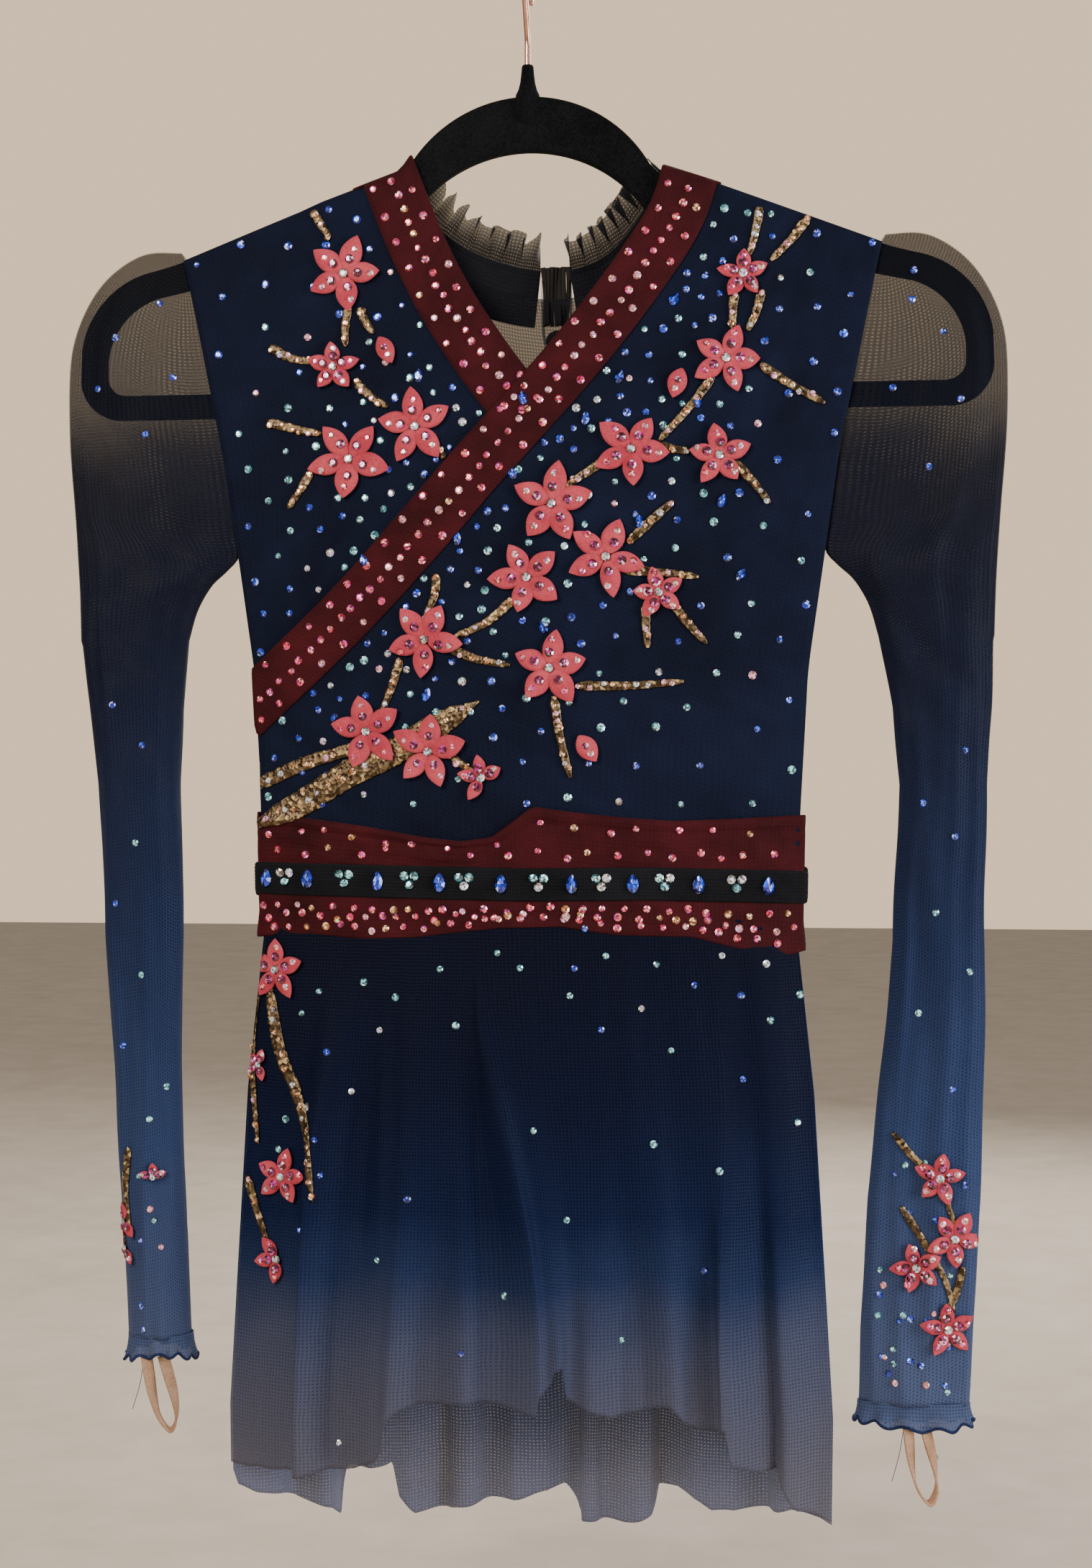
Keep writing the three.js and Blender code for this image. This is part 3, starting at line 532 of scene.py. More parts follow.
def elastic_material(name, deep, light, alpha=1.0, roughness=0.6):
    made, tree, shader = new_material(name, roughness)
    at = object_coordinates(tree)
    tone = place_group(tree, TONE, at, Deep=(*deep, 1), Light=(*light, 1), Cloud_size=60.0, Fleck=0.5)
    tree.links.new(tone.outputs["Color"], shader.inputs["Base Color"])
    ribs = node(tree, "ShaderNodeTexWave", Scale=420.0, Distortion=2.0, bands_direction="Z")
    tree.links.new(at, ribs.inputs["Vector"])
    if alpha < 1:
        shader.inputs["Alpha"].default_value = alpha
        shader.inputs["Coat Weight"].default_value = 0.6
    bump(tree, shader, ribs.outputs["Fac"], 0.0003)
    return made


def crystal_material(name, gloss=0.06, metallic=0.35):
    """Foil-backed cut glass: each facet takes its colour from the stone's colour attribute, which holds the
    stone's tint with painted sparkle and painted glints; the emission is a painted glow.
    """
    made, tree, shader = new_material(name, gloss, metallic, Coat_Weight=1.0, Coat_Roughness=0.03)
    shader.inputs["IOR"].default_value = 1.7
    # the facet colours carry the stone's tint with painted sparkle and painted glints
    tint = node(tree, "ShaderNodeAttribute", attribute_name="facet").outputs["Color"]
    tree.links.new(tint, shader.inputs["Base Color"])
    wear = node(tree, "ShaderNodeTexNoise", Scale=1200.0, Detail=1.0)
    tree.links.new(object_coordinates(tree), wear.inputs["Vector"])
    rough = node(tree, "ShaderNodeMapRange", To_Min=gloss * 0.5, To_Max=gloss * 2.5)
    tree.links.new(wear.outputs["Fac"], rough.inputs["Value"])
    tree.links.new(rough.outputs["Result"], shader.inputs["Roughness"])
    # painted glow: the facet colour squared is sent out as emission, so the stones shine without any lamp
    painted_glow = node(tree, "ShaderNodeMix", data_type="RGBA", blend_type="MULTIPLY")
    painted_glow.inputs[0].default_value = 1.0
    tree.links.new(tint, painted_glow.inputs[6])
    tree.links.new(tint, painted_glow.inputs[7])
    tree.links.new(painted_glow.outputs[2], shader.inputs["Emission Color"])
    shader.inputs["Emission Strength"].default_value = 0.5
    return made


NAVY = cloth_material("navy stretch velvet", (0.0024, 0.0032, 0.0105), (0.006, 0.009, 0.026), 0.82,
                      sheen=0.03,
                      tint=(0.35, 0.42, 0.7))
MAROON = cloth_material("maroon stretch velvet", (0.022, 0.0022, 0.0034), (0.06, 0.0068, 0.0095), 0.78,
                        cloud=26.0,
                        sheen=0.04, tint=(0.9, 0.4, 0.4))
BLACK = cloth_material("black lining", (0.004, 0.004, 0.006), (0.014, 0.014, 0.019), 0.8, sheen=0.02)
CORD_BLACK = cloth_material("black corded band", (0.003, 0.003, 0.004), (0.011, 0.011, 0.014), 0.7,
                            threads=2600.0,
                            depth=0.0006, sheen=0.02)
SLEEVE_NET = sheer_material("navy sleeve net", [
    (0.0, (0.004, 0.0045, 0.008)), (0.35, (0.005, 0.007, 0.021)), (0.6, (0.012, 0.021, 0.062)),
    (0.8, (0.027, 0.045, 0.115)),
    (1.0, (0.06, 0.08, 0.16))],
    [(0.0, 0.44), (0.12, 0.5), (0.19, 0.76), (0.35, 0.88), (0.6, 0.93), (1.0, 0.9)], 0.55)
SKIRT_NET = sheer_material("ombre skirt net", [
    (0.0, (0.0014, 0.0024, 0.011)), (0.3, (0.0018, 0.004, 0.02)), (0.5, (0.003, 0.008, 0.036)),
    (0.6, (0.012, 0.022, 0.066)), (0.73, (0.055, 0.062, 0.108)), (1.0, (0.115, 0.108, 0.135))],
    [(0.0, 0.99), (0.5, 0.98), (0.72, 0.9), (1.0, 0.74)], 0.6)
BACK_NET = sheer_material("blue under-skirt net", [
    (0.0, (0.005, 0.009, 0.032)), (0.4, (0.01, 0.026, 0.105)), (0.66, (0.022, 0.05, 0.17)),
    (0.86, (0.06, 0.085, 0.19)), (1.0, (0.095, 0.11, 0.2))],
    [(0.0, 0.99), (0.6, 0.96), (0.85, 0.88), (1.0, 0.76)], 0.6)
BLACK_NET = sheer_material("black net", [(0.0, (0.003, 0.003, 0.0045)), (1.0, (0.012, 0.012, 0.017))],
                           [(0.0, 0.88), (0.4, 0.86), (1.0, 0.6)], 0.6)
FELT = felt_material()
BARK = bark_material()
FLOCK = flock_material()
WIRE = wire_material()
TAN = elastic_material("tan elastic", (0.42, 0.22, 0.12), (0.62, 0.38, 0.24))
CLEAR = elastic_material("clear elastic", (0.7, 0.62, 0.6), (0.9, 0.86, 0.84), 0.6, 0.25)
THREAD = elastic_material("navy thread", (0.01, 0.015, 0.05), (0.02, 0.03, 0.09))


# ---- hanger ----
def arc(x, z, r, start, end, steps):
    return [(x + r * math.cos(math.radians(a)),
             z + r * math.sin(math.radians(a))) for a in np.linspace(start, end, steps)]


def hanger_frame():
    """The flat looped frame, its edges rounded over."""
    half_out = (arc(0, -145, 69, 90, 30, 24) + [(64, hanger_top(64)), (176, hanger_top(176))]
                + arc(178, hanger_top(176) - 48, 46, 80, 8, 18) + arc(204, -210, 20, 0, -90, 12))
    half_in = (arc(0, -173.5, 70.5, 90, 34, 20) + [(164, -165)] + arc(175, -204, 36, 72, 6, 14)
               + arc(201, -208, 10, -10, -90, 8))
    curve = bpy.data.curves.new("hanger_outline", "CURVE")
    curve.dimensions = "2D"
    curve.fill_mode = "BOTH"
    curve.extrude = 1.35 * MM
    curve.bevel_depth = 1.3 * MM
    curve.bevel_resolution = 3
    curve.offset = -1.3 * MM
    for half in (half_out, half_in):
        loop = half + [(-x, z) for x, z in reversed(half)][:-1]
        spline = curve.splines.new("POLY")
        spline.points.add(len(loop) - 1)
        for point, (x, z) in zip(spline.points, loop):
            point.co = (x * MM, z * MM, 0, 1)
        spline.use_cyclic_u = True
    holder = bpy.data.objects.new("hanger_outline", curve)
    bpy.context.scene.collection.objects.link(holder)
    mesh = bpy.data.meshes.new_from_object(holder.evaluated_get(bpy.context.evaluated_depsgraph_get()))
    bpy.data.objects.remove(holder)
    points = [(v.co.x, -v.co.z, v.co.y) for v in mesh.vertices]
    faces = [tuple(f.vertices) for f in mesh.polygons]
    made = new_object("hanger_loop", points, faces, FLOCK, "hanger")
    clean(made)
    made.data.shade_smooth()
    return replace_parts(made, "hanger_frame")


def turned(name, profile, material, body, steps=40, centre=(0, 0), axis="Z"):
    """A profile of (radius, height) points turned about an axis."""
    points, faces = [], []
    for r, z in profile:
        for k in range(steps):
            a = 2 * math.pi * k / steps
            x, y = r * math.cos(a), r * math.sin(a)
            point = (centre[0] + x, y, z) if axis == "Z" else (centre[0] + x, z, centre[1] + y)
            points.append(tuple(c * MM for c in point))
    for i in range(len(profile) - 1):
        for k in range(steps):
            m = (k + 1) % steps
            faces.append((i * steps + k, i * steps + m, (i + 1) * steps + m, (i + 1) * steps + k))
    made = new_object(name, points, faces, material, body)
    b = bmesh.new()
    b.from_mesh(made.data)
    bmesh.ops.remove_doubles(b, verts=b.verts, dist=1e-7)
    bmesh.ops.holes_fill(b, edges=b.edges)
    bmesh.ops.recalc_face_normals(b, faces=b.faces)
    b.to_mesh(made.data)
    b.free()
    return made


def hanger_boss():
    return turned("hanger_boss", [
        (1.9, -60.5), (2.5, -60.5), (2.9, -61.2), (3.1, -64), (3.7, -69), (4.6, -72.5), (5.8, -75),
        (6.0, -77),
        (5.9, -82), (5.2, -86), (3.8, -89), (2.2, -90.5), (0.01, -90.8)], FLOCK, "hanger")


def hook_wire():
    bend = [(0, -17 * math.cos(a), -15.5 + 17 * math.sin(a)) for a in np.linspace(math.pi, 0, 40)]
    tip = [(0, 17, z) for z in (-25.5, -24.9, -22, -19)]
    neck = smooth_line([bend[-1], (0, -16, -23.5), (0, -8, -35.5), (0, -1, -46.5), (0, 0, -55),
                        (0, 0, -72)], 40)[1:]
    line = tip + bend + [tuple(p) for p in neck]
    radius = [0.5, 1.35] + [1.5] * (len(line) - 2)
    made = tube("hook_wire", line, radius, WIRE, "hook", sides=20, twist=(1, 0, 0))
    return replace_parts(made, "hanger_hook")


hanger_frame()
hanger_boss()
hook_wire()


# ---- bodice ----
def between(left, right, rows, columns, side, lift):
    """Rows of points on the dress between two lines of (x, z), both run from the top down."""
    a, b = smooth_line(left, rows), smooth_line(right, rows)
    found = []
    for p, q in zip(a, b):
        xs, zs = np.linspace(p[0], q[0], columns), np.linspace(p[1], q[1], columns)
        found.append([on_dress(side, x, min(z, shoulder_line(x) - 0.2), lift) for x, z in zip(xs, zs)])
    return found


def side_seam(side, top, bottom, steps=24):
    return [(side * half_width(z), z) for z in np.linspace(top, bottom, steps)]


def bodice_front():
    over_left = [(81, shoulder_line(81))] + OVER_LINE[1:-1] + [(-131, -368), (-133, -395), (-131.5, -450)]
    over = between(over_left, side_seam(1, SHOULDER_TIP, -450), 90, 70, -1, LAYER)
    made = cloth_grid("bodice_over_panel", over, NAVY, "dress", outward=(0, 200, -300))
    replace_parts(made, "bodice_front_over")
    under_right = ([(-74, shoulder_line(-74))] + UNDER_LINE[1:-1]
                   + [(6, -240), (-30, -290), (-75, -338), (-118, -400)])
    under = between(side_seam(-1, SHOULDER_TIP, -400), under_right, 70, 44, -1, 0.0)
    tucked = cloth_grid("bodice_under_panel", under, NAVY, "dress", outward=(0, 200, -300))
    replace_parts(tucked, "bodice_front_under")
    return made, tucked


def neck_band(name, line, lift, node_name, rows=120):
    """A folded velvet band: a little crown across it and both edges rolled under."""
    middle = smooth_line(line, rows)
    across = np.concatenate([[-1, -0.985, -0.94], np.linspace(-0.85, 0.85, 11), [0.94, 0.985, 1]])
    lines = [beside(middle, HALF_BAND * s) for s in across]
    grid = []
    for i in range(rows):
        row = []
        for s, points in zip(across, lines):
            x, z = points[i]
            x = max(x, -half_width(z) - 0.4)
            roll = 0.9 * math.sqrt(max(0.0, 1 - abs(s) ** 14)) + 0.35 * (1 - s * s)
            pull = 0.18 * noise.noise(Vector((x / 9, z / 9, 4.2)))
            row.append(on_dress(-1, x, min(z, shoulder_line(x) - 0.1), lift + roll + pull))
        grid.append(row)
    made = cloth_grid(name, grid, MAROON, "dress", thick=1.1, outward=(0, 200, -300))
    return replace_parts(made, node_name)


def bodice_back():
    """Two halves that meet at the back seam, with the yoke of net between the collar and the halves."""
    for side, word in ((-1, "left"), (1, "right")):
        seam = [(BACK_CENTRE + side * 0.3, z) for z in np.linspace(-268, -432, 12)]
        top = [(side * 171.0, SHOULDER_TIP), (side * 120.0, shoulder_line(120)),
               (side * 96.0, shoulder_line(96))]
        rim = smooth_line([top[2], (side * 88, -150), (side * 66, -196), (side * 34 + 6, -246), seam[0]],
                          26)
        inner = [tuple(p) for p in rim] + seam[1:]
        grid = between(inner, side_seam(side, SHOULDER_TIP, -432), 80, 44, 1, 0.0)
        made = cloth_grid(f"back_half_{word}", grid, NAVY, "dress", outward=(0, -200, -300))
        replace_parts(made, f"bodice_back_{word}")
    left = smooth_line([(-96, shoulder_line(96)), (-88, -150), (-66, -196), (-28, -246), (12.7, -268)], 40)
    right = smooth_line([(96, shoulder_line(96)), (88, -150), (66, -196), (40, -246), (13.3, -268)], 40)
    low = list(left) + list(right[::-1])[1:]
    high = smooth_line([(-88, shoulder_line(88))] + collar_line()[1:-1] + [(88, shoulder_line(88))],
                       len(low))
    grid = []
    for t in np.linspace(0, 1, 30):
        row = []
        for (x0, z0), (x1, z1) in zip(high, low):
            x, z = x0 + (x1 - x0) * t, z0 + (z1 - z0) * t
            row.append(on_dress(1, x, min(z, shoulder_line(x) - 0.2), 0.2))
        grid.append(row)
    p = np.array(grid)
    cx, cz = p[:, :, 0], p[:, :, 2]
    middle_x, middle_z = (cx[:-1, :-1] + cx[1:, 1:]) / 2, (cz[:-1, :-1] + cz[1:, 1:]) / 2
    hole = ((middle_x - BACK_CENTRE) / 6.5) ** 2 + ((middle_z + 212) / 13) ** 2 < 1
    made = cloth_grid("net_yoke", grid, BLACK_NET, "dress", thick=0.7, outward=(0, -200, -300),
                      drop=np.full(p.shape[:2], 0.9), skip=hole)
    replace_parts(made, "back_yoke")
    ring = [on_dress(1, BACK_CENTRE + 7.2 * math.cos(a), -212 + 13.8 * math.sin(a), 0.7)
            for a in np.linspace(0, 2 * math.pi, 60, endpoint=False)]
    tube("keyhole_binding", ring, 0.9, BLACK, "dress", closed=True)
    return made


def collar_line():
    """The collar's middle line across the back, left shoulder to right."""
    half = HALF_COLLAR
    left = [(x + BACK_CENTRE * ease((90 + x) / 90), z) for x, z in half]
    right = [(-x + BACK_CENTRE * ease((90 + x) / 90), z) for x, z in half[::-1]]
    return left + right[1:]


def back_collar():
    line = collar_line()
    middle = smooth_line(line, 140)
    gap = COLLAR_GAP / 2
    halves = {"left": middle[middle[:, 0] < BACK_CENTRE - gap],
              "right": middle[middle[:, 0] > BACK_CENTRE + gap]}
    for word, part in halves.items():
        across = np.array([-1, -0.95, -0.7, -0.35, 0, 0.35, 0.7, 0.95, 1])
        lines = [beside(part, HALF_BAND * s) for s in across]
        grid = [[on_dress(1, x, min(z, shoulder_line(x) - 0.1),
                          LAYER + 0.8 * math.sqrt(max(0, 1 - abs(s) ** 10)))
                 for s, (x, z) in zip(across, [points[i] for points in lines])] for i in range(len(part))]
        made = cloth_grid(f"collar_{word}", grid, BLACK, "dress", thick=1.0,
                          outward=(0, -200, -300))
        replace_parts(made, f"back_collar_{word}")
        ruffle(word, part)


def ruffle(word, part, rows=9, columns=230):
    """A gathered frill of net sewn along the collar's upper edge; it stands up and curls over."""
    base = smooth_line(beside(part, 11.5), columns)
    tip = smooth_line(beside(part, 29.0), columns)
    grid, drop = [], []
    for j in range(rows):
        t = j / (rows - 1)
        row = []
        for i in range(columns):
            reach = t * (0.12 + 0.88 * ease((84 - abs(base[i][0])) / 24))
            x = base[i][0] + (tip[i][0] - base[i][0]) * reach
            z = base[i][1] + (tip[i][1] - base[i][1]) * reach
            run = i * 0.34
            wave = math.sin(run + 0.9 * math.sin(run * 0.31)) + 0.6 * noise.noise(Vector((i / 9, 2.0, 1.0)))
            rise = reach * (7.5 * noise.noise(Vector((i / 10, 5.0, 3.0))) + 2.6 * math.cos(run))
            y = 9.3 + 4.2 * wave * t ** 0.8 * (1 - 0.25 * t) - 1.5 * t
            x += 2.6 * t * math.cos(run + 0.8)
            z = min(z + rise, shoulder_line(x) - 0.5)
            row.append((x, y + 0.9 * math.sin(3 * run) * t, z))
        grid.append(row)
        drop.append([t] * columns)
    made = cloth_grid(f"frill_{word}", grid, BLACK_NET, "dress", thick=0.35,
                      outward=(0, -200, -300), drop=drop)
    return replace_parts(made, f"collar_ruffle_{word}")


def placket_strips():
    """Gathered strips of net that bridge the gap between the collar's ends, above the button."""
    strips = []
    for k, x in enumerate(np.linspace(-6.6, 6.2, 7)):
        line = [(BACK_CENTRE + x * (1 - 0.22 * t) + 0.5 * math.sin(4 * t + k),
                 9.6 + 0.9 * math.sin(3 * t + 2 * k),
                 -157 - 29 * t) for t in np.linspace(0, 1, 24)]
        strips.append(tube(f"strip_{k}", line, [1.3 - 0.3 * t for t in np.linspace(0, 1, 24)], BLACK_NET,
                           "dress",
                           flat=0.22))
    join_as("placket_strips", strips)


def closure():
    """The covered button on the left collar end and the clear elastic loop from the right."""
    profile = [(0.01, 16.6), (1.6, 16.45), (3.2, 15.9), (4.5, 14.9), (5.3, 13.6), (5.5, 12.6), (5.0, 11.9),
               (0.01, 11.7)]
    dome = turned("covered_button", profile, BLACK, "dress", centre=(BACK_CENTRE, -193), axis="Y")
    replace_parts(dome, "back_button")
    legs = [(BACK_CENTRE - 6.7, 11.2, -163), (BACK_CENTRE - 7.0, 12.4, -176),
            (BACK_CENTRE - 6.4, 12.9, -190),
            (BACK_CENTRE - 4, 12.9, -199), (BACK_CENTRE, 12.9, -201.5), (BACK_CENTRE + 4, 12.9, -199),
            (BACK_CENTRE + 6.4, 12.9, -190), (BACK_CENTRE + 7.0, 12.4, -176),
            (BACK_CENTRE + 6.7, 11.2, -163)]
    made = tube("clear_loop", smooth_line(legs, 70), 0.75, CLEAR, "closure", sides=8)
    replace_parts(made, "button_loop")
    placket_strips()


bodice_front()
neck_band("neck_band_lower_layer", UNDER_LINE[:-1] + [(-2, -230)], 0.5, "neck_band_under", 90)
neck_band("neck_band_top_layer", OVER_LINE, LAYER + 0.7, "neck_band_over", 150)
bodice_back()
back_collar()
closure()


# ---- sash ----
def sash_ring(z, off, columns=220):
    """One closed ring round the waist, off millimetres outside the cloth."""
    ring = []
    for k in range(columns):
        a = 2 * math.pi * k / columns
        reach = half_width(z) + off * 0.9
        x = reach * math.cos(a)
        side = -1 if math.sin(a) >= 0 else 1
        rim = math.sqrt(max(0.0, 1 - abs(x / reach) ** 16))
        y = side * (stand_off(x, z) + off) * rim
        ring.append((x, y, z))
    return ring


def dip(x, side):
    """The wavy upper edge of the sash, which peaks left of the middle on the front."""
    if side > 0:
        return 1.2 * math.sin(x / 31)
    return float(np.interp(x, [-135, -115, -77, -49, -30, -15, -4, 5, 18, 44, 72, 100, 135],
                           [-1, -1, -6, -11, -13, -11, -3, 4, 2, -1, -3, -2, 0]))


def low_edge(x, side):
    if side > 0:
        return 0.8 * math.sin(x / 24)
    return float(np.interp(x, [-135, -106, -81, -54, -30, -11, 18, 44, 81, 100, 123, 138],
                           [1, 3, 1, 2, 5, 7, 8, 4, 3, -2, -7, -3]))


def cord_sway(x, side):
    if side > 0:
        return 0.6 * math.sin(x / 40)
    return float(np.interp(x, [-135, -60, 0, 60, 110, 135], [1.2, 0.2, -0.8, -0.2, -1.4, -2.2]))


def folds(x, z, seed):
    """Soft slanting creases in the wrapped velvet."""
    slant = noise.noise(Vector(((x + z * 1.7) / 30, z / 9,
                                seed))) + 0.6 * noise.noise(Vector(((x - z) / 11, z / 6, seed)))
    return 1.0 * slant


def sash_band(name, replaced, top, bottom, top_edge, bottom_edge, off, seed, rows=26, folded=False):
    grid = []
    columns = 240
    for j in range(rows):
        t = j / (rows - 1)
        z = top + (bottom - top) * t
        ring = []
        for x, y, _ in sash_ring(z, off, columns):
            side = -1 if y <= 0 else 1
            height = z + top_edge(x, side) * (1 - t) + bottom_edge(x, side) * t
            belly = math.sin(math.pi * min(1, t * 1.05))
            puff = 0.75 * math.sin(math.pi * t) ** 0.5 + folds(x, z, seed + side) * belly
            if folded:
                puff += 0.9 * ease((0.2 - t) / 0.12) - 0.7 * math.exp(-((t - 0.24) / 0.05) ** 2)
            tuck = 1.0 - 0.9 * (abs(2 * t - 1) ** 22)
            scale = (abs(y) + max(0.0, puff) * 0.9 * tuck) / max(abs(y), 1e-6)
            limit = min(scale, 1 + 2.0 / max(abs(y), 1.0))
            ring.append((x * (1 + 0.0008 * puff), y * limit, height))
        grid.append(ring)
    made = cloth_grid(name, grid, MAROON, "dress", thick=1.1, outward=(0, 0, top), ring=True)
    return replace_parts(made, replaced)


def corded_band():
    """Black band of close cords between the two velvet ones."""
    rows, columns = 61, 260
    grid = []
    for j in range(rows):
        t = j / (rows - 1)
        z = SASH_CORD_TOP + (SASH_CORD_BOTTOM - SASH_CORD_TOP) * t
        ridge = 0.28 * abs(math.sin(t * math.pi * 9)) + 1.1 * math.sqrt(max(0.0, 1 - abs(2 * t - 1) ** 8))
        ring = []
        for x, y, _ in sash_ring(z, 3.3 + ridge, columns):
            side = -1 if y <= 0 else 1
            ring.append((x, y, z + cord_sway(x, side)))
        grid.append(ring)
    made = cloth_grid("sash_black_band", grid, CORD_BLACK, "dress", thick=0.9,
                      outward=(0, 0, -458), ring=True)
    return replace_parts(made, "sash_cord")


sash_band("sash_top_band", "sash_upper", SASH_TOP, SASH_CORD_TOP - 2, dip, cord_sway, 2.4, 11.0, rows=34,
          folded=True)
sash_band("sash_bottom_band", "sash_lower", SASH_CORD_BOTTOM + 2, SASH_BOTTOM, cord_sway, low_edge, 2.4,
          23.0, rows=26)
corded_band()


# ---- skirt ----
FRONT_HEM = [(-141, -746), (-95, -745), (-88, -743), (-78, -742), (-67, -736), (-61, -729), (-57, -716),
             (-53, -711),
             (-46, -708), (-30, -706), (-12, -706), (-1, -710), (1, -700), (8, -696), (11, -689),
             (16, -687),
             (19, -701), (34, -708), (43, -712), (53, -708), (63, -706), (70, -712), (81, -717), (92, -718),
             (101, -716), (103, -734), (110, -739), (119, -738), (122, -745), (128, -757), (141, -766)]
BACK_HEM = [(-143, -744), (-139, -759), (-131, -763), (-117, -765), (-108, -769), (-95, -773), (-88, -780),
            (-86, -766), (-84, -757), (-76, -754), (-68, -750), (-65, -768), (-59, -777), (-49, -777),
            (-30, -774),
            (-7, -769), (8, -763), (13, -776), (18, -781), (30, -781), (45, -779), (57, -775), (65, -762),
            (73, -760), (85, -768), (104, -767), (122, -765), (143, -766)]
# folds of the skirt: (x at the hem, x where it starts, height it starts, depth, which way it laps)
FRONT_FOLDS = [(-96, -95, -486, 11.0, 1), (-56, -62, -560, 6.0, 1), (-30, -34, -600, 4.0, -1),
               (0, -20, -500, 11.0, -1),
               (13, 4, -545, 6.0, -1), (36, 33, -580, 5.0, 1), (66, 62, -560, 6.0, -1),
               (101, 99, -545, 11.0, 1),
               (124, 121, -520, 6.0, 1)]
BACK_FOLDS = [(-110, -106, -520, 6.0, 1), (-85, -80, -500, 10.0, 1), (-50, -46, -520, 6.0, -1),
              (-18, -20, -560, 6.0, 1),
              (12, 6, -500, 10.0, -1), (38, 36, -560, 5.0, 1), (68, 64, -500, 9.0, 1),
              (104, 100, -520, 8.0, -1)]


def fold_shape(table, x_hem, z):
    """Sideways and outward shift of the pleats for a point that hangs to x_hem."""
    shift, out = 0.0, 0.0
    for at, _, top, depth, lap in table:
        grown = ease((top - z) / 150.0)
        near = (x_hem - at) / (7.5 + 4.0 * (1 - grown))
        bell = math.exp(-near * near)
        shift -= lap * depth * grown * bell * 0.8
        out += depth * grown * (bell - 0.6 * math.exp(-(near - 1.7 * lap) ** 2))
    return shift, out


def skirt_layer(name, replaced, side, hem, table, material, base, rows=110, columns=420):
    """Net that hangs from the waist in lapped folds to an uneven, rippled edge."""
    hem_x = [p[0] for p in hem]
    hem_z = [p[1] for p in hem]
    grid, drop = [], []
    top = SASH_BOTTOM + 14
    for j in range(rows):
        t = j / (rows - 1)
        row, marks = [], []
        for i in range(columns):
            u = 2 * i / (columns - 1) - 1
            spread = u * 141.0
            ragged = noise.noise(Vector((spread / 11.0, side * 3.0, 8.0)))
            low = float(np.interp(spread, hem_x, hem_z)) + 1.2 * ragged
            z = top + (low - top) * t ** 0.97
            wide = half_width(z) - 1.2
            flare = (spread / 141.0) * wide
            lean = 0.0
            for at, start, _, _, _ in table:
                lean += (start - at) * math.exp(-((spread - at) / 16.0) ** 2) * (1 - ease((top - z) / 220.0))
            shift, out = fold_shape(table, spread, z)
            x = flare + lean * 0.9 + shift
            x = max(-wide, min(wide, x))
            soft = 2.6 * noise.noise(Vector((spread / 24 + 9 * side, 0.3, z / 260))) * ease((top - z) / 110)
            soft += 0.9 * noise.noise(Vector((spread / 9 + 4 * side, 2.3, z / 150))) * ease((top - z) / 60)
            wander = noise.noise(Vector((spread / 19, 1.5, side)))
            ripple = 0.9 * math.sin(spread * 0.21 + 2.2 * wander) * t ** 9
            across = max(0.0, 1 - (x / half_width(z)) ** 2)
            reach = base + along(DEPTH, z) * across * ease((shoulder_line(x) - z) / 160)
            side_fade = min(1.0, (1 - abs(u)) * 14)
            y = side * (reach + max(-0.8, out + soft + 1.6) * side_fade) + ripple * side_fade
            row.append((x, y, z + 0.5 * ripple * t ** 20))
            marks.append(min(1.0, (top - z) / 290.0))
        grid.append(row)
        drop.append(marks)
    made = cloth_grid(name, grid, material, "dress", thick=0.5, outward=(0, -side * 200, -600),
                      drop=drop)
    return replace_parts(made, replaced)


skirt_front = skirt_layer("skirt_front_layer", "skirt_front", -1, FRONT_HEM, FRONT_FOLDS, SKIRT_NET,
                          1.4)
skirt_back = skirt_layer("skirt_back_layer", "skirt_back", 1, BACK_HEM, BACK_FOLDS, BACK_NET, 1.4)


# ---- briefs under the skirt ----
BRIEFS_HALF, BRIEFS_DEPTH, BRIEFS_TOP = 126.0, 11.0, -483.0
LEG_Z, CROTCH_Z, CROTCH_HALF = -522.0, -650.0, 30.0


def leg_line(steps=30):
    """The leg opening's edge from the crotch up to the side."""
    a, b, c = (CROTCH_HALF, CROTCH_Z), (CROTCH_HALF + 22, LEG_Z - 50), (BRIEFS_HALF - 6, LEG_Z + 4)
    return [tuple((1 - t) ** 2 * a[k] + 2 * t * (1 - t) * b[k] + t * t * c[k] for k in (0, 1))
            for t in np.linspace(0, 1, steps)]


def briefs_point(side, x, z, lift):
    half = BRIEFS_HALF - 10 * ease((WAIST - z) / 60)
    crease = 0.35 * noise.noise(Vector((x / 20, z / 14, 6.0 + side)))
    return (x, side * (0.5 + lift + crease + BRIEFS_DEPTH * max(0.0, 1 - (x / half) ** 2)), z)


